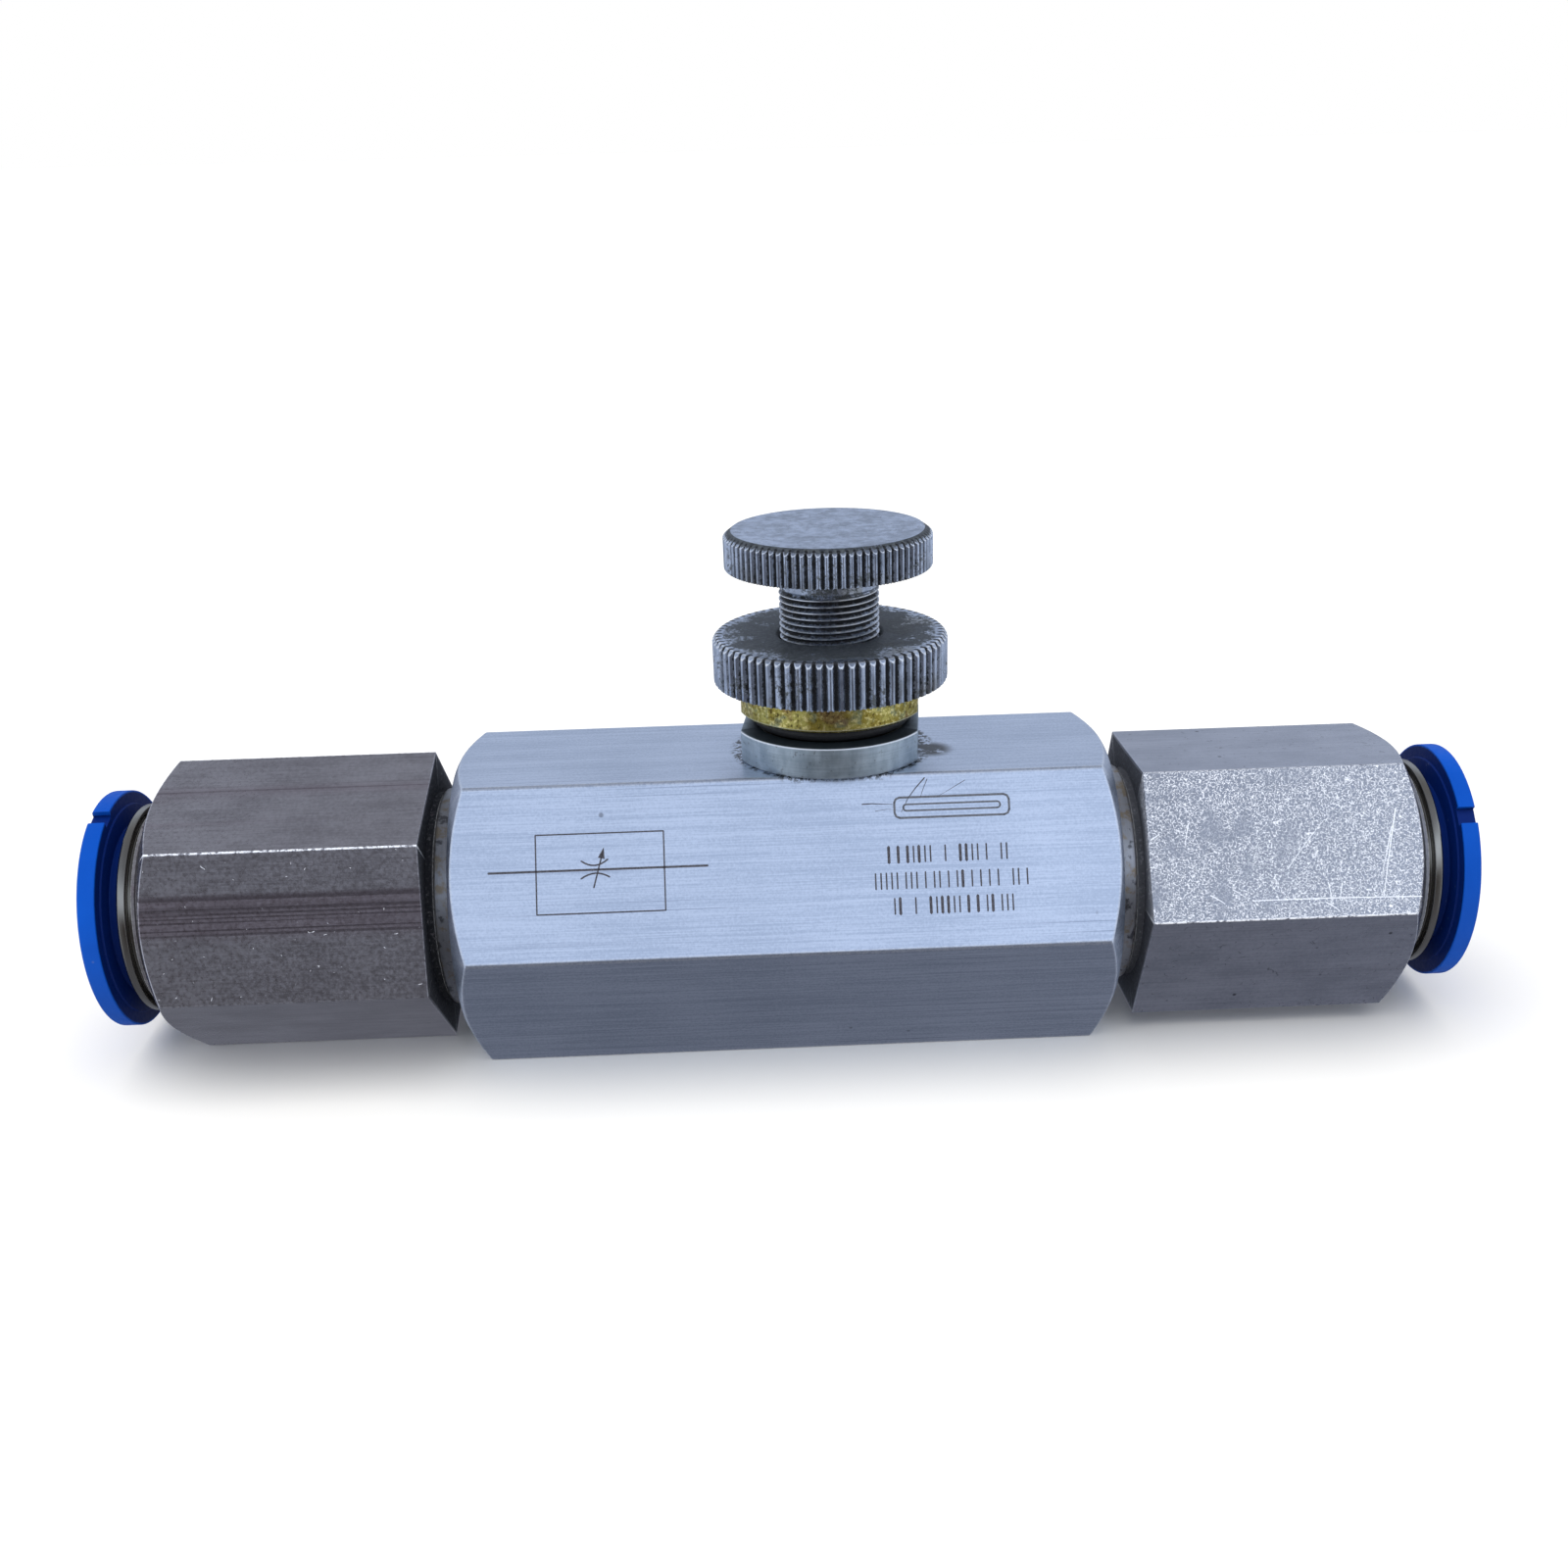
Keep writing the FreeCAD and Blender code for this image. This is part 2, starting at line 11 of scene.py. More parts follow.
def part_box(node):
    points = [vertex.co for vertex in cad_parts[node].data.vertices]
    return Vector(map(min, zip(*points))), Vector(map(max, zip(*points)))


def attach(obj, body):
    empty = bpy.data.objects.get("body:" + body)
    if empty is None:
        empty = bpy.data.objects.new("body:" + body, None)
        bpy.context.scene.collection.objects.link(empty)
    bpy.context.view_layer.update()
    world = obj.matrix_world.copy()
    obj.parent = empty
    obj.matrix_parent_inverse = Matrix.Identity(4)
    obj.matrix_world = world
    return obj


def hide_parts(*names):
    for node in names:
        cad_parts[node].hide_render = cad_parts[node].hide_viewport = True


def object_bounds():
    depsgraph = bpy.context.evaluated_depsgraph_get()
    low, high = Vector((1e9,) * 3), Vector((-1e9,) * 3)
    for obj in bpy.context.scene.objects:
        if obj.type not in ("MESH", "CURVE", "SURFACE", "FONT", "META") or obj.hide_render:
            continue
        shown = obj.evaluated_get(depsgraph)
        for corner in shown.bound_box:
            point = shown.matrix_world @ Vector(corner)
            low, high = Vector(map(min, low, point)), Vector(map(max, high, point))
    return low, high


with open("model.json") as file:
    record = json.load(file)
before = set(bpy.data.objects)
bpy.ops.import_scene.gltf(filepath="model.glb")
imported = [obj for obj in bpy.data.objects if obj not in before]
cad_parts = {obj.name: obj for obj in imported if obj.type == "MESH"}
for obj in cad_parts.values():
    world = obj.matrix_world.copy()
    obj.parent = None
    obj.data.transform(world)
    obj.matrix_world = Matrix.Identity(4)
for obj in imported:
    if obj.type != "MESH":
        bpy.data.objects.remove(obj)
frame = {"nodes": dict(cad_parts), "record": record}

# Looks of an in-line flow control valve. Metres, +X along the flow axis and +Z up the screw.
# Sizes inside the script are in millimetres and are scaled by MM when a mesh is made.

CAD_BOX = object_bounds()
MM = 0.001
SIDES = {"left": -1, "right": 1}


def box_mm(node):
    """Lowest and highest corners of a CAD node, in millimetres."""
    low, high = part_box(node)
    return np.array(low) / MM, np.array(high) / MM


BODY_LOW, BODY_HIGH = box_mm("valve_body")
APOTHEM = (BODY_HIGH[2] - BODY_LOW[2]) / 2
AXIS_Z = (BODY_HIGH[2] + BODY_LOW[2]) / 2
HALF_LENGTH = BODY_HIGH[0]
COLLAR_LOW, COLLAR_HIGH = box_mm("collar_ring")
KNOB_X = (COLLAR_LOW[0] + COLLAR_HIGH[0]) / 2
SCREW_LOW, SCREW_HIGH = box_mm("adjusting_screw")
NUT_LOW, NUT_HIGH = box_mm("lock_nut")
BUSH_LOW, BUSH_HIGH = box_mm("guide_bush")
SLOT_OF = {part["node"]: part["material_slot"] for part in frame["record"]["subparts"]}


# ---- turned meshes ----------------------------------------------------------------------------

SOFT_STEPS = (0.0, 0.25, 0.5, 0.75, 1.0)
# a loop closer to the axis than this is one point, and one beyond this share of the radius is rim
ON_AXIS = 1e-6
RIM_SHARE = 0.93


def upright(along, radius, angle):
    """Points around the screw's axis; along is the height."""
    return KNOB_X + radius * np.cos(angle), radius * np.sin(angle), along + 0 * angle


def flow(side):
    """Points around the flow axis; along is the station, counted outwards on that side."""
    def place(along, radius, angle):
        return side * along + 0 * angle, radius * np.cos(angle), AXIS_Z + radius * np.sin(angle)
    return place


def softened(outline, count, closed):
    """Loops of a turned shape: each corner of the outline becomes a short curve."""
    corners = []
    for along, radius, *rest in outline:
        pair = np.empty((count, 2))
        pair[:, 0] = along
        pair[:, 1] = radius
        corners.append((pair, *rest, *(0.0, 0.0, 1.0)[len(rest):]))
    loops = []
    last = len(corners) - 1
    for index, (corner, soft, grime_and_shade, bright) in enumerate(corners):
        if soft == 0 or (not closed and index in (0, last)):
            loops.append((corner, 0.0, grime_and_shade))
            continue
        ends = []
        for other in (corners[index - 1][0], corners[(index + 1) % len(corners)][0]):
            step = other - corner
            length = np.maximum(np.linalg.norm(step, axis=1, keepdims=True), ON_AXIS)
            ends.append(corner + step / length * np.minimum(soft, 0.45 * length))
        for t in SOFT_STEPS:
            curve = (1 - t) ** 2 * ends[0] + 2 * t * (1 - t) * corner + t * t * ends[1]
            loops.append((curve, bright * math.sin(math.pi * t), grime_and_shade))
    return loops


def mesh_object(name, points, faces, layers):
    """Object from points in millimetres, with a float attribute for each layer."""
    mesh = bpy.data.meshes.new(name)
    mesh.from_pydata((np.asarray(points) * MM).tolist(), [], faces)
    for layer, values in layers.items():
        attribute = mesh.attributes.new(layer, "FLOAT", "POINT")
        attribute.data.foreach_set("value", np.asarray(values, np.float32))
    edit = bmesh.new()
    edit.from_mesh(mesh)
    bmesh.ops.recalc_face_normals(edit, faces=edit.faces)
    edit.to_mesh(mesh)
    edit.free()
    thing = bpy.data.objects.new(name, mesh)
    bpy.context.scene.collection.objects.link(thing)
    return thing


def turned(name, outline, angles, place, closed=True, column_edge=None, wear=None, depth=None):
    """Mesh of revolution from (along, radius, softness, shade, edge brightness) corners.

    Along and radius may be arrays with a value for each angle. An open outline starts and ends
    on the axis. The edge layer marks worn edges and painted highlights, the shade layer painted
    shade in recesses, between parts and under them, mixed with some soiling, wear scuffed faces
    and depth the valleys of a knurl, where shade is painted too."""
    count = len(angles)
    loops = softened(outline, count, closed)
    column_edge, wear, depth = (
        np.zeros(count) if values is None else values for values in (column_edge, wear, depth))
    outer = max(loop[:, 1].max() for loop, _, _ in loops)
    points, layers, rows = [], {"edge": [], "grime_and_shade": [], "wear": [], "depth": []}, []
    for loop, edge, grime_and_shade in loops:
        chosen = slice(0, 1 if loop[:, 1].max() < ON_AXIS else count)
        x, y, z = place(loop[chosen, 0], loop[chosen, 1], angles[chosen])
        rows.append(list(range(len(points), len(points) + len(x))))
        points.extend(np.stack([x, y, z], axis=1).tolist())
        on_rim = 1.0 if loop[:, 1].max() > RIM_SHARE * outer else 0.0
        layers["edge"].extend(np.maximum(edge, on_rim * column_edge)[chosen])
        layers["grime_and_shade"].extend(np.full(count, grime_and_shade)[chosen])
        layers["wear"].extend((wear * on_rim)[chosen])
        layers["depth"].extend((depth * on_rim)[chosen])
    faces = []
    pairs = list(zip(rows, rows[1:])) + ([(rows[-1], rows[0])] if closed else [])
    for low, high in pairs:
        for i in range(count):
            j = (i + 1) % count
            if len(low) == 1:
                faces.append((low[0], high[i], high[j]))
            elif len(high) == 1:
                faces.append((low[i], low[j], high[0]))
            else:
                faces.append((low[i], low[j], high[j], high[i]))
    return mesh_object(name, points, faces, layers)


def round_columns(count=192):
    """Evenly spaced angles."""
    return np.arange(count) * 2 * math.pi / count


def hexagon_columns(apothem, fillet, turn, worn=(0,) * 6, bright=(1,) * 6):
    """Angles around a rounded hexagon, its radius, edge brightness and wear at each of them."""
    sixth = math.pi / 6
    centre = (apothem - fillet) / math.cos(sixth)
    half = math.atan2(0.5 * fillet, centre + math.cos(sixth) * fillet)
    flank, on_flat, on_corner = half + 0.004, 18, 7
    offsets = np.concatenate([
        -np.linspace(sixth, flank, on_flat + 1)[1:],
        np.linspace(-half, half, on_corner),
        np.linspace(flank, sixth, on_flat + 1),
    ])
    angles, radii, edges, wears = [], [], [], []
    for corner in range(6):
        for offset in offsets:
            size = abs(offset)
            if size < half:
                reach = centre * math.cos(size)
                radius = reach + math.sqrt(fillet ** 2 - (centre * math.sin(size)) ** 2)
            else:
                radius = apothem / math.cos(sixth - size)
            angles.append(math.radians(60 * corner + turn) + offset)
            radii.append(radius)
            edges.append(bright[corner] if size < half * 1.01 else 0.0)
            wears.append(worn[corner] if offset > 0 else worn[corner - 1])
    return np.array(angles), np.array(radii), np.array(edges), np.array(wears)


def cut(thing, *tools):
    """Takes the tools' volume away from a mesh, exactly, and removes the tools."""
    for tool in tools:
        modifier = thing.modifiers.new("cut", "BOOLEAN")
        modifier.object = tool
        modifier.operation = "DIFFERENCE"
        modifier.solver = "EXACT"
    bpy.context.view_layer.update()
    result = bpy.data.meshes.new_from_object(thing.evaluated_get(bpy.context.evaluated_depsgraph_get()))
    thing.modifiers.clear()
    old, thing.data = thing.data, result
    result.name = thing.name
    bpy.data.meshes.remove(old)
    for tool in tools:
        bpy.data.objects.remove(tool)


def block(name, low, high):
    """Box-shaped cutting tool between two corners, in millimetres."""
    mesh = bpy.data.meshes.new(name)
    edit = bmesh.new()
    bmesh.ops.create_cube(edit, size=1.0)
    low, high = np.minimum(low, high) * MM, np.maximum(low, high) * MM
    for vertex in edit.verts:
        vertex.co = Vector([low[i] if vertex.co[i] < 0 else high[i] for i in range(3)])
    edit.to_mesh(mesh)
    edit.free()
    tool = bpy.data.objects.new(name, mesh)
    bpy.context.scene.collection.objects.link(tool)
    return tool


def turn_tool(tool, degrees, axis, centre):
    """Turns a cutting tool about a line through a point in millimetres."""
    centre = Matrix.Translation(Vector(centre) * MM)
    tool.data.transform(centre @ Matrix.Rotation(math.radians(degrees), 4, axis) @ centre.inverted())
    return tool


def wrench_flats(thing, bottom, top):
    """Two parallel flats on a round part of the screw's stack, a little off square to the bar."""
    size, turn, reach = 14.0, -6.1, 12.0
    tools = []
    for side in SIDES.values():
        low, high = (KNOB_X + side * size / 2, -reach, bottom - 1), (KNOB_X + side * reach, reach, top + 1)
        tools.append(turn_tool(block("flat", low, high), turn, "Z", (KNOB_X, 0, 0)))
    cut(thing, *tools)


def shade(thing, material, sharp=38.0):
    """Smooth shading that keeps corners sharper than an angle, and the material."""
    mesh = thing.data
    mesh.shade_smooth()
    mesh.set_sharp_from_angle(angle=math.radians(sharp))
    modifier = thing.modifiers.new("weighted normals", "WEIGHTED_NORMAL")
    modifier.keep_sharp = True
    modifier.weight = 80
    mesh.materials.clear()
    mesh.materials.append(material)


def stand_for(thing, body, node, material=None, sharp=38.0):
    """Shades a piece and lets it ride on a body in the place of a CAD node."""
    slot = SLOT_OF[node]
    shade(thing, material or MATERIALS[slot], sharp)
    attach(thing, body)
    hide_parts(node)


# ---- materials --------------------------------------------------------------------------------

class Graph:
    """Short ways to add nodes to a tree."""

    def __init__(self, tree):
        self.nodes = tree.nodes
        self.links = tree.links

    def put(self, socket, value):
        """Links a socket or sets its value."""
        if isinstance(value, bpy.types.NodeSocket):
            self.links.new(value, socket)
        elif isinstance(value, tuple) and len(value) == 3 and socket.type == "RGBA":
            socket.default_value = (*value, 1.0)
        else:
            socket.default_value = value

    def node(self, kind, output=0, inputs=None, **settings):
        """A new node's output socket."""
        node = self.nodes.new(kind)
        for key, value in settings.items():
            setattr(node, key, value)
        for key, value in (inputs or {}).items():
            self.put(node.inputs[key], value)
        return node.outputs[output]

    def math(self, operation, a, b=0.0, clamp=False):
        return self.node("ShaderNodeMath", 0, {0: a, 1: b}, operation=operation, use_clamp=clamp)

    def times(self, a, b):
        return self.math("MULTIPLY", a, b)

    def plus(self, a, b):
        return self.math("ADD", a, b)

    def most(self, a, b):
        return self.math("MAXIMUM", a, b)

    def blend(self, *parts):
        """Sum of values, each times its share."""
        total = None
        for value, share in parts:
            value = self.times(value, share)
            total = value if total is None else self.plus(total, value)
        return total

    def vector(self, operation, a, b, output=0):
        return self.node("ShaderNodeVectorMath", output, {0: a, 1: b}, operation=operation)

    def axes(self, vector):
        """The x, y and z of a vector."""
        return tuple(self.node("ShaderNodeSeparateXYZ", 0, {0: vector}).node.outputs)

    def ramp(self, value, low, high, start=0.0, end=1.0):
        """Smooth change from start to end while a value goes from low to high."""
        inputs = {"Value": value, "From Min": low, "From Max": high, "To Min": start, "To Max": end}
        return self.node("ShaderNodeMapRange", 0, inputs, interpolation_type="SMOOTHSTEP")

    def spread(self, noise, start=0.0, end=1.0):
        """Change from start to end over the range where most of a noise lies."""
        return self.ramp(noise, 0.3, 0.7, start, end)

    def mix(self, factor, a, b):
        """Colour a going to colour b."""
        node = self.nodes.new("ShaderNodeMix")
        node.data_type = "RGBA"
        for index, value in ((0, factor), (6, a), (7, b)):
            self.put(node.inputs[index], value)
        return node.outputs[2]


class Finish(Graph):
    """A node material around one Principled shader, with a colour that is built up in coats."""

    def __init__(self, name):
        self.material = bpy.data.materials.new(name)
        self.material.use_nodes = True
        super().__init__(self.material.node_tree)
        self.shader = self.nodes["Principled BSDF"]
        self.place = self.node("ShaderNodeTexCoord", "Object")
        self.colour = None

    def base(self, factor, dark, light):
        """First colour."""
        self.colour = self.mix(factor, dark, light)

    def coat(self, amount, colour, share=None):
        """Colour laid over the others where amount, times a share if given, says so."""
        amount = amount if share is None else self.times(amount, share)
        self.colour = self.mix(amount, self.colour, colour)

    def set(self, **values):
        """Sets the shader's inputs by name, with underscores for spaces."""
        for key, value in values.items():
            self.put(self.shader.inputs[key.replace("_", " ")], value)

    def done(self, metal, rough, height, strength, distance):
        """Sets the shader up, with a bump from a height, and gives the material."""
        inputs = {"Height": height, "Strength": strength, "Distance": distance}
        normal = self.node("ShaderNodeBump", 0, inputs)
        self.set(Base_Color=self.colour, Metallic=metal, Roughness=rough, Normal=normal)
        return self.material

    def layer(self, name):
        """A mesh attribute's value."""
        return self.node("ShaderNodeAttribute", "Fac", attribute_name=name)

    def stretched(self, x, y, z):
        """Object coordinates times a scale for each axis, in features per metre."""
        return self.node("ShaderNodeMapping", 0, {"Vector": self.place, "Scale": (x, y, z)})

    def lathe(self, line, across, around, along):
        """Coordinates around a line: distance from it, angle and height, each with its scale."""
        centre, axis = line
        order = {"Z": (0, 1, 2), "X": (1, 2, 0)}[axis]
        parts = self.axes(self.vector("SUBTRACT", self.place, centre))
        first, second, third = (parts[index] for index in order)
        square = self.plus(self.times(first, first), self.times(second, second))
        radius = self.times(self.math("SQRT", square), across)
        angle = self.times(self.math("ARCTAN2", second, first), around)
        return self.node("ShaderNodeCombineXYZ", 0, {0: radius, 1: angle, 2: self.times(third, along)})

    def noise(self, scale, detail=2.0, rough=0.5, line=None):
        """Noise with one scale, with one for each axis, or with three for the ways around a line."""
        vector = self.place
        if isinstance(scale, tuple):
            vector, scale = self.lathe(line, *scale) if line else self.stretched(*scale), 1.0
        inputs = {"Vector": vector, "Scale": scale, "Detail": detail, "Roughness": rough}
        return self.node("ShaderNodeTexNoise", "Fac", inputs)

    def cells(self, vector, output, **settings):
        inputs = {"Vector": vector, "Scale": 1.0}
        return self.node("ShaderNodeTexVoronoi", output, inputs, **settings)

    def fibres(self, scale, width, share, swirl=0.6, breaks=1.7):
        """Short thin curved scratches: broken edges of a cell pattern."""
        vector = self.stretched(scale, scale, scale)
        warp = self.node("ShaderNodeTexNoise", "Color", {"Vector": vector, "Scale": 0.9, "Detail": 1.0})
        vector = self.vector("ADD", vector, self.vector("MULTIPLY", warp, (swirl, swirl, swirl)))
        lines = self.ramp(self.cells(vector, "Distance", feature="DISTANCE_TO_EDGE"), width, 0.0)
        broken = self.node("ShaderNodeTexNoise", "Fac", {"Vector": vector, "Scale": breaks, "Detail": 1.0})
        return self.times(lines, self.ramp(broken, share, share + 0.06))

    def spots(self, scale, size, share):
        """Scattered small round spots."""
        vector = self.stretched(scale, scale, scale)
        pick = self.node("ShaderNodeSeparateColor", 0, {0: self.cells(vector, "Color")})
        chosen = self.math("LESS_THAN", pick, share)
        return self.times(self.ramp(self.cells(vector, "Distance"), size, size * 0.4), chosen)


FLOW_LINE = ((0, 0, AXIS_Z * MM), "X")
SCREW_LINE = ((KNOB_X * MM, 0, 0), "Z")


def anodised_aluminium():
    """Satin anodised bar: lengthwise drawing lines, light wear and a painted highlight on the edges,
    painted shade mixed with soiling by the collar.
    """
    paint = Finish("anodised aluminium")
    hair = paint.noise((120, 8500, 8500), 3, 0.65)
    bands = paint.noise((18, 1900, 1900), 3, 0.6)
    grain = paint.noise(5200, 2, 0.6)
    cloud = paint.noise(90, 2)
    level = paint.blend((hair, 0.4), (bands, 0.2), (grain, 0.25), (cloud, 0.15))
    paint.base(paint.ramp(level, 0.40, 0.60), (0.545, 0.61, 0.72), (0.75, 0.815, 0.93))
    # thin dark drawing lines in a few places
    draw = paint.ramp(paint.noise((20, 6500, 6500), 2, 0.4), 0.60, 0.70)
    draw = paint.times(draw, paint.ramp(paint.noise((26, 260, 260)), 0.52, 0.66))
    paint.coat(draw, (0.26, 0.30, 0.40), 0.6)
    paint.coat(paint.spots(420, 0.11, 0.05), (0.12, 0.12, 0.14), 0.6)
    # painted highlight along the rounded edges, with light wear
    edge = paint.times(paint.layer("edge"), paint.ramp(grain, 0.35, 0.6, 0.3, 1.0))
    paint.coat(edge, (0.90, 0.93, 0.97), 0.6)
    # painted shade mixed with soiling against the collar ring, on its right
    top_flat = COLLAR_LOW[2] * MM
    spot = (MM * (COLLAR_HIGH[0] + 0.5), -1.5 * MM, top_flat)
    near = paint.ramp(paint.vector("DISTANCE", paint.place, spot, "Value"), 0.0022, 0.0009)
    grime_and_shade = paint.times(near, paint.ramp(paint.noise(1300, 4, 0.65), 0.32, 0.48))
    # and along the foot of the collar
    foot = paint.axes(paint.lathe(SCREW_LINE, 1.0, 1.0, 1.0))[0]
    rim = COLLAR_HIGH[1] * MM
    high = paint.ramp(paint.axes(paint.place)[2], top_flat - 0.0006, top_flat - 0.0001)
    ring = paint.times(paint.ramp(foot, rim + 0.0006, rim + 0.0001), high)
    speckled = paint.ramp(paint.noise(2600, 3, 0.7), 0.46, 0.56)
    grime_and_shade = paint.most(grime_and_shade, paint.times(ring, speckled))
    paint.coat(grime_and_shade, (0.05, 0.048, 0.042), 0.92)
    rough = paint.plus(paint.blend((hair, 0.10), (bands, 0.06)), 0.31)
    return paint.done(1.0, rough, paint.plus(hair, paint.times(grain, 0.6)), 0.3, 0.000014)


def turned_aluminium():
    """Collar ring: satin, turned around the axis, a little green-grey."""
    paint = Finish("turned aluminium")
    rings = paint.noise((6500, 1.2, 6500), 3, 0.6, SCREW_LINE)
    streak = paint.noise((300, 9.0, 300), 3, 0.6, SCREW_LINE)
    cloud = paint.noise(620, 3, 0.6)
    level = paint.blend((rings, 0.3), (cloud, 0.3), (streak, 0.4))
    paint.base(paint.ramp(level, 0.36, 0.64), (0.31, 0.375, 0.42), (0.52, 0.60, 0.65))
    dust = paint.ramp(paint.noise(2300, 3, 0.7), 0.60, 0.70)
    paint.coat(dust, (0.12, 0.12, 0.11), 0.6)
    # painted shade on the foot, the top face and in the bore, where the flange and nut shade them
    paint.coat(paint.layer("grime_and_shade"), (0.055, 0.075, 0.09), 0.9)
    # painted highlight on the rims
    paint.coat(paint.layer("edge"), (0.95, 0.97, 0.99), 0.95)
    return paint.done(0.85, paint.spread(cloud, 0.36, 0.5), rings, 0.3, 0.00001)


def yellow_passivated_steel():
    """Bush: gold chromate with darker and browner patches and a grainy surface."""
    paint = Finish("yellow passivated steel")
    cloud = paint.noise(640, 4, 0.65)
    fine = paint.noise(2900, 3, 0.7)
    paint.base(paint.ramp(cloud, 0.38, 0.58), (0.56, 0.49, 0.13), (0.38, 0.29, 0.05))
    paint.coat(paint.ramp(paint.noise(900, 2), 0.50, 0.66), (0.32, 0.33, 0.17))
    paint.coat(paint.ramp(paint.noise(380, 2), 0.56, 0.66, 0.0, 0.6), (0.34, 0.18, 0.10))
    paint.coat(paint.ramp(fine, 0.52, 0.66, 0.0, 0.8), (1.0, 0.86, 0.36))
    paint.coat(paint.ramp(fine, 0.46, 0.34, 0.0, 0.85), (0.09, 0.06, 0.02))
    # painted highlight on the flange's lower edge
    paint.coat(paint.layer("edge"), (0.95, 0.90, 0.62), 0.6)
    # painted shade under the flange and on the neck, in the gap above the collar
    paint.coat(paint.layer("grime_and_shade"), (0.02, 0.02, 0.022), 0.95)
    return paint.done(0.9, paint.spread(fine, 0.48, 0.26), fine, 0.5, 0.00004)


def black_rubber():
    """Moulded rubber with a faint skin texture and dust."""
    paint = Finish("black rubber")
    fine = paint.noise(4200, 3, 0.6)
    dust = paint.ramp(paint.noise(900, 4, 0.7), 0.55, 0.75)
    paint.base(paint.times(dust, 0.5), (0.016, 0.016, 0.017), (0.06, 0.057, 0.052))
    return paint.done(0.0, paint.spread(fine, 0.48, 0.68), fine, 0.3, 0.00002)


def knurled_steel():
    """Turned and knurled steel: painted highlights on the crests, painted shade in the valleys, and painted
    shade mixed with some soiling on the nut and under the head.
    """
    paint = Finish("knurled steel")
    rings = paint.noise((7000, 1.5, 1800), 3, 0.6, SCREW_LINE)
    cloud = paint.noise(420, 4, 0.6)
    fine = paint.noise(3000, 4, 0.7)
    teeth = paint.noise((1300, 1300, 260), 2, 0.6)
    level = paint.blend((rings, 0.15), (cloud, 0.45), (teeth, 0.4))
    paint.base(paint.ramp(level, 0.38, 0.62), (0.34, 0.385, 0.46), (0.62, 0.69, 0.82))
    paint.coat(paint.fibres(900, 0.035, 0.56), (0.12, 0.12, 0.14), 0.55)
    # brownish film in patches
    grime_and_shade = paint.layer("grime_and_shade")
    tan = paint.ramp(paint.noise(260, 3, 0.6), 0.52, 0.66, 0.0, 0.45)
    paint.coat(paint.times(tan, paint.ramp(grime_and_shade, 0.12, 0.3)), (0.30, 0.27, 0.20))
    # painted shade, mixed with some soiling, where the shade layer says so, broken up by noise
    darkening = paint.plus(grime_and_shade, paint.spread(cloud, -0.26, 0.26))
    darkening = paint.plus(darkening, paint.spread(fine, -0.24, 0.24))
    darkening = paint.ramp(darkening, 0.30, 0.62)
    shade_and_dirt = paint.mix(paint.ramp(fine, 0.38, 0.66), (0.010, 0.012, 0.013), (0.10, 0.11, 0.105))
    paint.coat(darkening, shade_and_dirt, 0.9)
    # painted highlights on the crests, the rims and the thread's crests
    bright = paint.times(paint.layer("edge"), paint.ramp(fine, 0.32, 0.5, 0.45, 1.0))
    paint.coat(bright, (0.96, 0.98, 1.0), 0.95)
    # painted shade in the knurl's valleys and the thread's roots
    valley = paint.plus(paint.layer("depth"), paint.spread(fine, -0.22, 0.22))
    valley = paint.ramp(valley, 0.30, 0.70)
    paint.coat(valley, (0.016, 0.016, 0.017), 0.95)
    # less metallic and rougher where shade is painted
    dark_parts = paint.most(valley, darkening)
    rough = paint.plus(paint.spread(fine, 0.26, 0.40), paint.times(dark_parts, 0.22))
    height = paint.plus(paint.times(rings, 0.5), fine)
    return paint.done(paint.ramp(dark_parts, 0.0, 1.0, 1.0, 0.7), rough, height, 0.35, 0.000025)


def ground_steel(name, line, bright, dark, roughness):
    """Ground or stamped steel with fine marks around its axis."""
    paint = Finish(name)
    rings = paint.noise((6000, 1.5, 6000), 3, 0.6, line)
    cloud = paint.noise(300, 3, 0.6)
    paint.base(paint.times(paint.plus(rings, cloud), 0.5), dark, bright)
    rough = paint.spread(rings, roughness - 0.06, roughness + 0.08)
    return paint.done(1.0, rough, rings, 0.25, 0.00001)


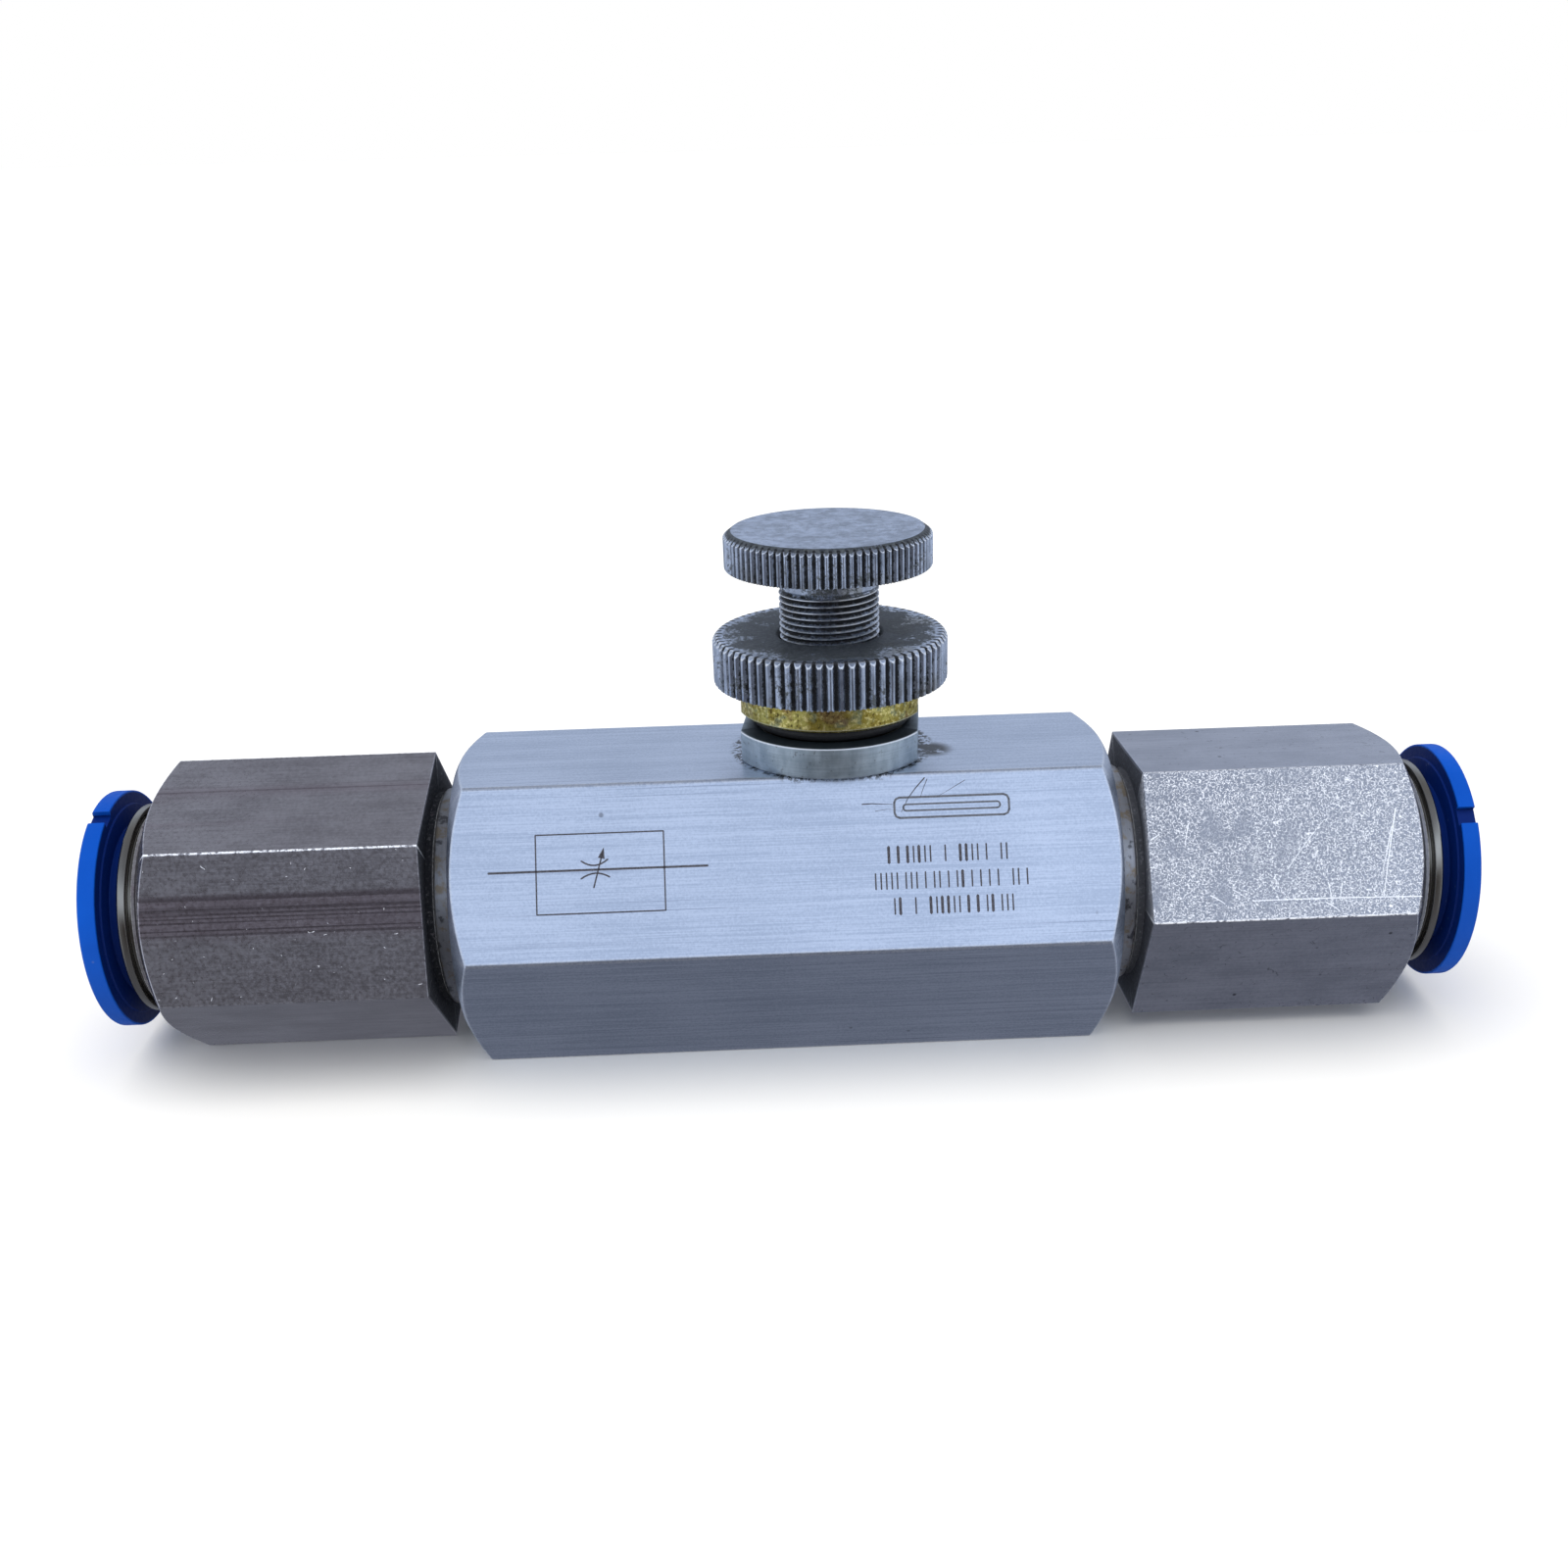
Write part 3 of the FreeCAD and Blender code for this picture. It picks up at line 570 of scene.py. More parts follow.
def nickel_plated_brass(name, dark, bright, drawn, stain, pitted):
    """Nickel-plated drawn bar: lengthwise lines, nicks, pits, scuffs, worn ragged edges with painted
    highlights, and painted shade in the recesses.
    """
    paint = Finish(name)
    hair = paint.noise((140, 6500, 6500), 3, 0.65)
    fine = paint.noise(3300, 3, 0.7)
    cloud = paint.noise((200, 330, 330), 3, 0.55)
    level = paint.blend((hair, 0.3), (fine, 0.35), (cloud, 0.35))
    paint.base(paint.ramp(level, 0.36, 0.64), dark, bright)
    # long dark die lines, gathered in bands with a reddish stain
    bands = paint.ramp(paint.noise((5, 260, 260), 2), 0.54, 0.66)
    lines = paint.ramp(paint.noise((14, 3600, 3600), 2, 0.4), 0.50, 0.60)
    paint.coat(bands, (0.36, 0.26, 0.30), stain)
    paint.coat(paint.times(lines, bands), (0.10, 0.075, 0.08), drawn)
    # dark pits
    dashes = paint.times(paint.fibres(1100, 0.05, 0.62, 0.5), 0.5)
    pits = paint.times(paint.most(paint.times(paint.spots(900, 0.20, 0.05), 0.8), dashes), pitted)
    paint.coat(pits, (0.05, 0.05, 0.055))
    # painted shade in the recesses, mixed with some soiling
    darkening = paint.times(paint.layer("grime_and_shade"), paint.ramp(fine, 0.25, 0.5, 0.8, 1.0))
    paint.coat(darkening, (0.012, 0.013, 0.016))
    # scuffs and nicks down to bright metal
    wear = paint.layer("wear")
    scribble = paint.most(paint.fibres(3400, 0.20, 0.47, 1.3, 3.4), paint.fibres(1700, 0.06, 0.54, 0.7))
    denser = paint.ramp(paint.axes(paint.place)[0], 0.036, 0.048, -0.06, 0.16)
    where = paint.ramp(paint.noise(420, 4, 0.6), 0.35, 0.65, -0.30, 0.24)
    where = paint.ramp(paint.plus(paint.plus(wear, where), denser), 0.40, 0.90)
    nicks = paint.most(paint.spots(1500, 0.16, 0.02), paint.fibres(1300, 0.05, 0.70, 0.8))
    nicks = paint.times(nicks, paint.ramp(wear, 0.08, 0.22))
    # worn ragged edges carrying a painted highlight, strongest on the edges set to face the light
    ragged = paint.times(paint.layer("edge"), paint.ramp(fine, 0.36, 0.56, 0.1, 1.0))
    white = paint.most(paint.most(paint.times(scribble, where), nicks), ragged)
    # a scuffed face is duller between its marks
    paint.coat(wear, (0.33, 0.335, 0.36), 0.75)
    paint.coat(white, (0.97, 0.98, 1.0))
    rough = paint.plus(paint.spread(fine, 0.25, 0.36), paint.times(white, 0.25))
    rough = paint.math("ADD", rough, paint.times(darkening, 0.6), clamp=True)
    metal = paint.ramp(paint.most(white, darkening), 0.0, 1.0, 1.0, 0.3)
    height = paint.math("SUBTRACT", paint.blend((hair, 0.7), (fine, 0.5)), paint.plus(white, pits))
    return paint.done(metal, rough, height, 0.3, 0.00002)


def washer_metal():
    """Dull soft-metal sealing washer with brownish stains."""
    paint = Finish("washer metal")
    rings = paint.noise((5000, 2.0, 5000), 3, 0.6, FLOW_LINE)
    cloud = paint.noise(700, 4, 0.65)
    paint.base(rings, (0.30, 0.31, 0.33), (0.56, 0.56, 0.58))
    paint.coat(paint.ramp(cloud, 0.52, 0.64, 0.0, 0.75), (0.36, 0.27, 0.15))
    paint.coat(paint.ramp(cloud, 0.46, 0.36, 0.0, 0.8), (0.05, 0.05, 0.055))
    # painted highlight on the washer's rims
    paint.coat(paint.layer("edge"), (0.75, 0.74, 0.72), 0.4)
    # painted shade, mixed with some soiling, in the recess between bar and hexagon
    paint.coat(paint.layer("grime_and_shade"), (0.045, 0.048, 0.055), 0.85)
    return paint.done(0.9, paint.spread(cloud, 0.34, 0.5), rings, 0.3, 0.000015)


def moulded_plastic(name, light, dark, shaded, roughness, specks):
    """Moulded plastic: slight colour drift, fine texture, dust specks and painted shade in the recess."""
    paint = Finish(name)
    cloud = paint.noise(140, 3, 0.55)
    fine = paint.noise(2600, 3, 0.6)
    paint.base(paint.spread(cloud), dark, light)
    # painted shade on recessed faces, broken up by noise
    shade_and_dirt = paint.plus(paint.layer("grime_and_shade"), paint.ramp(fine, 0.35, 0.65, -0.15, 0.15))
    paint.coat(paint.ramp(shade_and_dirt, 0.15, 0.85), shaded)
    paint.coat(paint.spots(1100, 0.16, 0.10), (0.16, 0.20, 0.30), specks)
    paint.set(Specular_IOR_Level=0.12)
    rough = paint.spread(fine, roughness - 0.05, roughness + 0.07)
    return paint.done(0.0, rough, fine, 0.12, 0.00002)


def marking(name, dark, light, metal):
    """Laser mark or scratch with a slightly uneven tone."""
    paint = Finish(name)
    fine = paint.noise(6000, 3, 0.7)
    paint.base(paint.ramp(fine, 0.35, 0.65), dark, light)
    paint.set(Base_Color=paint.colour, Metallic=metal, Roughness=paint.spread(fine, 0.45, 0.65))
    return paint.material


MATERIALS = {
    "anodised_aluminium": anodised_aluminium(),
    "turned_aluminium": turned_aluminium(),
    "yellow_passivated_steel": yellow_passivated_steel(),
    "black_rubber": black_rubber(),
    "knurled_steel": knurled_steel(),
    "needle_steel": ground_steel("needle steel", SCREW_LINE, (0.68, 0.68, 0.68), (0.5, 0.5, 0.5), 0.22),
    "spring_steel": ground_steel("spring steel", FLOW_LINE, (0.70, 0.69, 0.66), (0.5, 0.49, 0.47), 0.26),
    "sleeve_steel": ground_steel("sleeve steel", FLOW_LINE, (0.46, 0.44, 0.39), (0.17, 0.155, 0.13), 0.20),
    "washer_metal": washer_metal(),
    "support_plastic": moulded_plastic(
        "support plastic", (0.78, 0.77, 0.72), (0.70, 0.69, 0.64), (0.5, 0.48, 0.42), 0.45, 0.1),
    "blue_plastic": moulded_plastic(
        "blue plastic", (0.001, 0.078, 0.45), (0.001, 0.064, 0.38), (0.001, 0.014, 0.115), 0.50, 0.25),
}
# the left fitting's darker base colours are painted shade; its stain and die lines are its own
NICKEL = {
    "left": nickel_plated_brass(
        "nickel plated brass left", (0.36, 0.335, 0.35), (0.57, 0.54, 0.56), 0.65, 0.5, 0.25),
    "right": nickel_plated_brass(
        "nickel plated brass right", (0.43, 0.445, 0.50), (0.62, 0.63, 0.69), 0.1, 0.0, 1.0),
}
LASER = marking("laser mark", (0.030, 0.028, 0.034), (0.085, 0.080, 0.092), 0.1)
FADED = marking("faded mark", (0.09, 0.095, 0.11), (0.16, 0.165, 0.185), 0.3)
BRIGHT = marking("bright scratch", (0.86, 0.88, 0.92), (0.98, 0.99, 1.0), 0.3)


# ---- valve core -------------------------------------------------------------------------------

def make_valve_body():
    """Chamfered hexagonal bar with ports, offset passages, seat and the bore for the bush."""
    angles, radii, edges, _ = hexagon_columns(APOTHEM, 0.355, 0.0)
    end_radius, port_radius, mouth_radius, port_depth = 11.4, 6.55, 7.1, 11.0
    port_bottom = HALF_LENGTH - port_depth
    shoulder = HALF_LENGTH - (radii - end_radius) * math.tan(math.radians(30))
    half = [
        (port_bottom, 0.0),
        (port_bottom, port_radius, 0.1),
        (HALF_LENGTH - mouth_radius + port_radius, port_radius, 0.05),
        (HALF_LENGTH, mouth_radius, 0.05),
        (HALF_LENGTH, end_radius, 0.12),
        (shoulder, radii, 0.16),
    ]
    outline = [(-half[i][0], *half[i][1:]) for i in range(len(half))] + half[::-1]
    bar = turned("valve_body_skin", outline, angles, flow(1), closed=False, column_edge=edges)
    # passages below and above the flow axis, which meet at the needle's seat
    offset, passage, reach = 3.1, 2.5, port_bottom + 1
    seat, seat_top = 2.0, AXIS_Z + 1.6
    chamber, chamber_bottom, chamber_top = 4.2, AXIS_Z + 0.6, 19.1
    bush_bore, bush_bottom = 6.05, 18.1

    def drill_up(radius, bottom, top):
        outline = [(bottom, 0.0), (bottom, radius), (top, radius), (top, 0.0)]
        return turned("drill", outline, round_columns(96), upright, closed=False)

    def drill_along(height, start, end, nose):
        outline = [(start, 0.0), (start, passage), (end, passage)]
        for angle in np.linspace(0.2, 1.4, 7) if nose else ():
            outline.append((end + passage * math.sin(angle), passage * math.cos(angle)))
        outline.append((end + (passage if nose else 0), 0.0))
        tool = turned("drill", outline, round_columns(64), flow(1), closed=False)
        tool.data.transform(Matrix.Translation((0, 0, height * MM)))
        return tool

    cut(
        bar,
        drill_along(-offset, -reach, KNOB_X, True),
        drill_along(offset, KNOB_X, reach, False),
        drill_up(seat, AXIS_Z - offset, seat_top),
        drill_up(chamber, chamber_bottom, chamber_top),
        drill_up(bush_bore, bush_bottom, BODY_HIGH[2] + 1),
    )
    stand_for(bar, "housing", "valve_body")


def make_round_parts():
    """Collar ring and guide bush; the O-ring that shows between them is made on its own."""
    bottom, top = COLLAR_LOW[2], COLLAR_HIGH[2]
    rim, bore = COLLAR_HIGH[1], 6.1
    collar = turned("collar_ring_skin", [
        (bottom, bore, 0.05),
        # painted shade on the foot, the top face and in the bore, painted highlights on the rims
        (bottom, rim, 0.18, 0.2, 0.2),
        (top, rim, 0.15),
        (top, rim - 0.20, 0.0, 0.9),
        (top, bore, 0.15, 1.0, 0.0),
    ], round_columns(360), upright)
    wrench_flats(collar, bottom, top)
    stand_for(collar, "housing", "collar_ring")

    top, foot, bottom = BUSH_HIGH[2], 27.6, BUSH_LOW[2]
    rim, thread, stem, neck, body = BUSH_HIGH[1], 4.0, 2.55, 5.3, 6.0
    groove, groove_low, groove_high = 3.75, 19.4, 20.8
    bush = turned("guide_bush_skin", [
        (top, thread, 0.15),
        (top, rim, 0.15),
        (foot + 0.2, rim, 0.08),
        # painted highlight on the flange's lower edge, painted shade under it and on the neck
        (foot, rim - 0.2, 0.06, 0.3, 0.6),
        (foot, rim - 0.5, 0.0, 1.0),
        (foot, neck, 0.1, 1.0, 0.0),
        (26.4, neck, 0.1, 1.0, 0.0),
        (26.4, body, 0.1, 1.0, 0.0),
        (19.15, body, 0.25),
        (19.15, 4.25, 0.05),
        (bottom, 4.25, 0.15),
        (bottom, stem, 0.1),
        (groove_low, stem, 0.05),
        (groove_low, groove, 0.05),
        (groove_high, groove, 0.05),
        (groove_high, stem, 0.05),
        (21.5, stem),
        (21.5, thread),
    ], round_columns(360), upright)
    wrench_flats(bush, foot, top)
    stand_for(bush, "housing", "guide_bush")


def make_o_ring(name, node):
    """Rubber ring with the faint flash line of its mould."""
    low, high = box_mm(node)
    section = (high[2] - low[2]) / 2
    centre = (high[0] - low[0]) / 2 - section
    skin = 0.975
    outline = []
    for step in round_columns(28):
        flash = 1.0 if abs(math.sin(step)) < 0.05 else skin
        height = section + section * skin * math.sin(step)
        outline.append((low[2] + height, centre + section * flash * math.cos(step)))
    ring = turned(name, outline, round_columns(160), upright)
    stand_for(ring, "housing", node, sharp=60)


# depth of one groove of a knurl, from crest to valley and back
KNURL_PROFILE = (0.0, 0.03, 0.34, 0.84, 1.0, 0.84, 0.34, 0.03)


def knurl(grooves, radius, depth, seed):
    """Angles of a straight knurl, its radius at each and how deep in a valley each one is."""
    chance = random.Random(seed)
    angles, radii, depths = [], [], []
    pitch = 2 * math.pi / grooves
    for groove in range(grooves):
        strength = chance.uniform(0.86, 1.0)
        shift = chance.uniform(-0.04, 0.04)
        crest = chance.uniform(0.0, 0.03)
        for column, value in enumerate(KNURL_PROFILE):
            inside = shift if value > 0.1 else 0.0
            angles.append(pitch * (groove + column / len(KNURL_PROFILE) + inside / 2))
            radii.append(radius - depth * value * strength - crest * (1 - value))
            depths.append(value * strength)
    return np.array(angles), np.array(radii), np.array(depths)


def make_lock_nut():
    """Knurled nut: top painted darker towards the bore, as shade under the head mixed with some soiling,
    inside a rim with a painted highlight; countersunk bore.
    """
    bottom, top, radius = NUT_LOW[2], NUT_HIGH[2], NUT_HIGH[0] - KNOB_X
    angles, radii, depths = knurl(70, radius, 0.40, 11)
    inner, foot, bore, sink = radius - 0.34, radius - 0.14, 4.0, 0.3
    nut = turned("lock_nut_skin", [
        (bottom + sink, bore, 0.05),
        (bottom, bore + sink, 0.05),
        (bottom, foot - 0.3, 0.06, 0.2),
        # painted highlights on the crests' corners and the top rim, painted shade growing towards the bore
        (bottom + np.maximum(radii - foot, 0.02), radii, 0.05, 0.3, 0.4),
        (top - np.maximum(radii - inner, 0.03), radii, 0.14, 0.1),
        (top, np.minimum(radii - 0.02, inner), 0.14, 0.0, 1.0),
        (top, radius - 0.62, 0.0, 0.1),
        (top, radius - 1.05, 0.0, 0.5),
        (top, radius - 2.2, 0.0, 0.74),
        (top, 5.2, 0.0, 0.85),
        (top, bore + sink, 0.06, 1.1, 0.0),
        (top - sink, bore, 0.05, 1.1, 0.0),
    ], angles, upright, depth=depths)
    stand_for(nut, "nut", "lock_nut")


# height of the thread across one pitch, from root to crest and back
THREAD_PROFILE = (0.0, 0.25, 0.62, 1.0, 1.0, 0.62, 0.25, 0.0)


def make_adjusting_screw():
    """Knurled head and a shank with a real right-hand thread, as one closed mesh."""
    top, radius = SCREW_HIGH[2], SCREW_HIGH[0] - KNOB_X
    under, foot = top - 2.98, SCREW_LOW[2]
    angles, radii, depths = knurl(81, radius, 0.34, 29)
    wide, narrow = len(angles), 108
    inner, foot_rim = radius - 0.66, radius - 0.14
    points, faces = [], []
    layers = {"edge": [], "grime_and_shade": [], "wear": [], "depth": []}

    def ring(height, reach, turns, edge=0.0, grime_and_shade=0.0, depth=0.0):
        """Adds a loop of points and gives their numbers."""
        first, level = len(points), np.zeros(len(turns))
        points.extend(np.stack(upright(height + level, reach + level, turns), axis=1).tolist())
        for layer, value in (("edge", edge), ("grime_and_shade", grime_and_shade), ("wear", 0.0), ("depth", depth)):
            layers[layer].extend(level + value)
        return list(range(first, len(points)))

    def join(low, high, closed=True):
        """Faces between two loops, or between all but their last and first points."""
        for i in range(len(low) if closed else len(low) - 1):
            j = (i + 1) % len(low)
            faces.append((low[i], low[j], high[j], high[i]))

    def cap(height, loop):
        """Faces from a loop to a point on the axis."""
        pole = ring(height, 0.0, angles[:1])[0]
        faces.extend((pole, loop[i], loop[(i + 1) % len(loop)]) for i in range(len(loop)))

    head = softened([
        (top, 0.0),
        (top, 2.0),
        (top, 5.5),
        (top, inner - 0.12),
        (top, inner, 0.03, 0.1, 0.0),
        # painted dark reflection on the chamfer ring, painted highlights on the crests' corners, painted
        # shade under the head
        (top - 0.03, inner + 0.04, 0.0, 0.85),
        (top - 0.20, inner + 0.27, 0.0, 0.85),
        (top - (radii - inner) * 0.75, radii, 0.08, 0.1),
        (under + np.maximum(radii - foot_rim, 0.02), radii, 0.05, 0.25, 0.4),
        (under, foot_rim - 0.3, 0.06, 0.3),
        (under, 5.0, 0.0, 0.8),
        (under, 0.0),
    ], wide, False)
    previous = None
    for loop, edge, grime_and_shade in head[1:-1]:
        rim = depths if loop[:, 1].max() > RIM_SHARE * radius else 0.0
        current = ring(loop[:, 0], loop[:, 1], angles, edge, grime_and_shade, rim)
        if previous is None:
            cap(top, current)
        else:
            join(previous, current)
        previous = current
    # the wide ring under the head meets the shank's narrower one in flat faces
    turns = round_columns(narrow)
    share = wide // narrow
    crest, root, pitch = 3.95, 3.69, 0.5
    # painted shade on the neck under the head
    neck = ring(under, crest + 0.35, turns, 0.0, 0.9)
    for i in range(narrow):
        outer = [previous[(i * share + k) % wide] for k in range(share + 1)]
        faces.append((*outer, neck[(i + 1) % narrow], neck[i]))
    smooth = crest - 0.02
    for height, reach in ((under, crest + 0.15), (under - 0.05, crest + 0.02), (under - 0.15, smooth)):
        lower = ring(height, reach, turns, 0.0, 0.6)
        join(neck, lower)
        neck = lower
    # thread: a grid sheared by one pitch a turn, which joins itself one turn higher at its seam
    rows_a_turn, whole_turns, fade = len(THREAD_PROFILE), 23, 0.75
    rows = rows_a_turn * whole_turns
    start = foot + 0.35
    grid = []
    for row in range(rows + 1):
        turn = (row / rows_a_turn) + np.arange(narrow) / narrow
        height = THREAD_PROFILE[row % rows_a_turn]
        fade_in = np.clip((turn - 1) / fade, 0, 1)
        fade_out = np.clip((whole_turns - turn) / fade, 0, 1)
        reach = smooth - (smooth - root - (crest - root) * height * fade_in) * fade_out
        # painted highlight on the thread's crests, painted shade in its roots
        bright, in_root = 0.9 * height ** 4 * fade_out, (1 - height) * fade_out
        grid.append(ring(start + pitch * turn, reach, turns, bright, 0.32 + 0.3 * in_root, 0.85 * in_root))
    for row in range(rows):
        join(grid[row], grid[row + 1], closed=False)
    for row in range(rows - rows_a_turn):
        above = row + rows_a_turn
        faces.append((grid[row][-1], grid[above][0], grid[above + 1][0], grid[row + 1][-1]))
    join(grid[rows], neck, closed=False)
    seam = [grid[row][-1] for row in range(rows, rows - rows_a_turn - 1, -1)]
    faces.append((*seam, grid[rows][0], neck[0], neck[-1]))
    # foot: chamfer, face and the bore for the needle's pin
    low = ring(start - 0.05, root, turns, 0.0, 0.5)
    join(low, grid[0], closed=False)
    seam = [grid[row][0] for row in range(rows_a_turn, -1, -1)]
    faces.append((low[-1], low[0], *seam[::-1], grid[0][-1]))
    chamfer, pin, pin_depth = 0.12, 1.65, 4.0
    for height, reach in (
        (foot + chamfer, root),
        (foot, root - chamfer),
        (foot, pin + 0.1),
        (foot + 0.1, pin),
        (foot + pin_depth, pin),
    ):
        lower = ring(height, reach, turns, 0.0, 0.3)
        join(low, lower)
        low = lower
    cap(foot + pin_depth, low)
    screw = mesh_object("adjusting_screw_skin", points, faces, layers)
    # slot for the needle's clip
    low, high = box_mm("needle_clip")
    gap = 0.05
    low, high = (KNOB_X - 1.2, low[1] - gap, low[2] - gap), (KNOB_X + 5, high[1] + gap, high[2] + gap)
    cut(screw, block("slot", low, high))
    stand_for(screw, "screw", "adjusting_screw", sharp=50)


# ---- push-in fittings -------------------------------------------------------------------------

FITTING_APOTHEM = 10.5
FITTING_TURN = {"left": 17.25, "right": -2.95}
# how scuffed each flat of a fitting is and how bright each long edge is painted, wear with a painted
# highlight, by corner from the rear one
FITTING_WEAR = {
    "left": (0.22, 0.07, 0.20, 0.12, 0.18, 0.2),
    "right": (0.22, 0.10, 1.0, 0.05, 0.18, 0.25),
}
FITTING_EDGES = {
    "left": (0.6, 0.5, 1.0, 0.15, 0.3, 0.5),
    "right": (0.6, 0.5, 0.45, 1.0, 0.2, 0.5),
}
# painted shade mixed with some soiling in the recess between bar and hexagon, on the fitting and on the
# washer
FITTING_SHADE_AND_DIRT = {"left": 1.0, "right": 0.9}
WASHER_SHADE_AND_DIRT = {"left": 0.55, "right": 0.15}
NOTCH_ANGLE = {"left": 18.0, "right": 46.0}


def make_fitting(name, side):
    """Hexagon, stud and mouth of one push-in fitting, with its washer, sleeve and release ring."""
    end_radius, stud, neck, collar, mouth, bore, socket = 10.18, 6.5, 5.7, 8.7, 8.5, 4.0, 6.1
    stud_start, neck_start, washer_end = 18.9, 26.9, 27.85
    hex_start, hex_end, mouth_end = 28.5, 50.5, 51.55
    turn, shade_and_dirt = FITTING_TURN[name], FITTING_SHADE_AND_DIRT[name]
    angles, radii, edges, wears = hexagon_columns(
        FITTING_APOTHEM, 0.12, turn, worn=FITTING_WEAR[name], bright=FITTING_EDGES[name])
    shoulder = hex_end - (radii - end_radius) * math.tan(math.radians(30))
    body = turned("fitting_body_skin_" + name, [
        (stud_start, bore, 0.1),
        (stud_start, stud - 0.6, 0.1),
        (stud_start + 0.6, stud, 0.1),
        (neck_start, stud, 0.1),
        (neck_start, neck, 0.1),
        (washer_end, neck, 0.1),
        # painted shade with some soiling on the collar and the hexagon's inner end face, painted highlights
        # on its corners
        (washer_end, collar, 0.15, shade_and_dirt, 0.3),
        (hex_start, collar, 0.1, shade_and_dirt, 0.0),
        (hex_start, radii - 0.35, 0.0, shade_and_dirt),
        (hex_start, radii, 0.07, 0.1, 0.3),
        (shoulder, radii, 0.09, 0.0, 0.3),
        (hex_end, end_radius, 0.12, 0.0, 0.4),
        # painted shade in the mouth's grooves, painted highlights on its ridges
        (hex_end, mouth + 0.05, 0.08, 0.7, 0.0),
        (hex_end + 0.22, mouth - 0.2, 0.06, 0.9, 0.0),
        (hex_end + 0.38, mouth, 0.06, 0.6, 0.4),
        (hex_end + 0.62, mouth, 0.06, 0.6, 0.4),
        (hex_end + 0.72, mouth - 0.15, 0.04, 0.9, 0.0),
        (hex_end + 0.82, mouth, 0.04, 0.5, 0.3),
        (mouth_end, mouth, 0.08, 0.6, 0.5),
        (mouth_end, 7.95, 0.08),
        (42.0, 7.95, 0.05),
        (42.0, socket, 0.1),
        (33.5, socket, 0.05),
        (33.5, bore, 0.1),
    ], angles, flow(side), column_edge=edges, wear=wears)
    stand_for(body, "housing", "fitting_body_" + name, NICKEL[name])

    washer = turned("sealing_washer_skin_" + name, [
        (HALF_LENGTH, 6.65, 0.1),
        (HALF_LENGTH, 9.0, 0.2, WASHER_SHADE_AND_DIRT[name]),
        (washer_end, 9.0, 0.2, WASHER_SHADE_AND_DIRT[name]),
        (washer_end, 6.65, 0.1),
    ], round_columns(), flow(side))
    stand_for(washer, "housing", "sealing_washer_" + name)

    start, lip, end, inside, outside, rim = 45.85, 52.0, 52.7, 7.55, 7.9, 8.6
    sleeve = turned("retaining_sleeve_skin_" + name, [
        (start, inside, 0.05),
        (start, outside, 0.1),
        (lip, outside, 0.08),
        (lip, rim, 0.12),
        (end, rim, 0.2, 0.3),
        (end, inside - 0.35, 0.12),
        (50.2, inside - 0.35, 0.1),
        (50.2, inside, 0.05),
    ], round_columns(), flow(side))
    stand_for(sleeve, "housing", "retaining_sleeve_" + name)

    nose, catch, flange, front = 46.95, 49.0, 53.9, 55.3
    bore, tube, rim, step = 6.15, 7.15, 9.77, 0.6
    ring = turned("release_ring_skin_" + name, [
        (nose, bore, 0.1),
        (nose, tube, 0.25),
        (catch, tube, 0.05),
        (catch, tube + 0.35, 0.2),
        (catch + 1.15, tube + 0.35, 0.1),
        # painted shade on the tube and the flange's inner face
        (catch + 1.15, tube, 0.05, 0.8),
        (flange - 0.15, tube, 0.1, 1.0),
        (flange - 0.15, collar, 0.1, 1.0),
        (flange, collar, 0.05, 1.0),
        (flange, rim - 0.22, 0.0, 1.0),
        (flange, rim, 0.10, 0.0),
        (front, rim, 0.22),
        (front, bore + step, 0.15),
        (front - step, bore, 0.2),
    ], round_columns(256), flow(side))
    tools, floor, half_width = [], 9.22, 0.7
    for half_turn in (0, 180):
        low, high = (53.0 * side, -half_width, AXIS_Z + floor), (56.5 * side, half_width, AXIS_Z + 10.5)
        tool = block("notch", low, high)
        tools.append(turn_tool(tool, NOTCH_ANGLE[name] + half_turn, "X", (0, 0, AXIS_Z)))
    cut(ring, *tools)
    # painted shade on the notches' floors
    for vertex in ring.data.vertices:
        if floor - 0.02 < math.hypot(vertex.co.y, vertex.co.z - AXIS_Z * MM) / MM < floor + 0.05:
            ring.data.attributes["grime_and_shade"].data[vertex.index].value = 1.0
    stand_for(ring, "release_" + name, "release_ring_" + name)


# ---- markings and scratches on the flats ------------------------------------------------------

MARK_DEPTH = 0.02
MARK_PROUD = 0.012
# where the upper front flat faces, in degrees around the flow axis
FRONT = 150


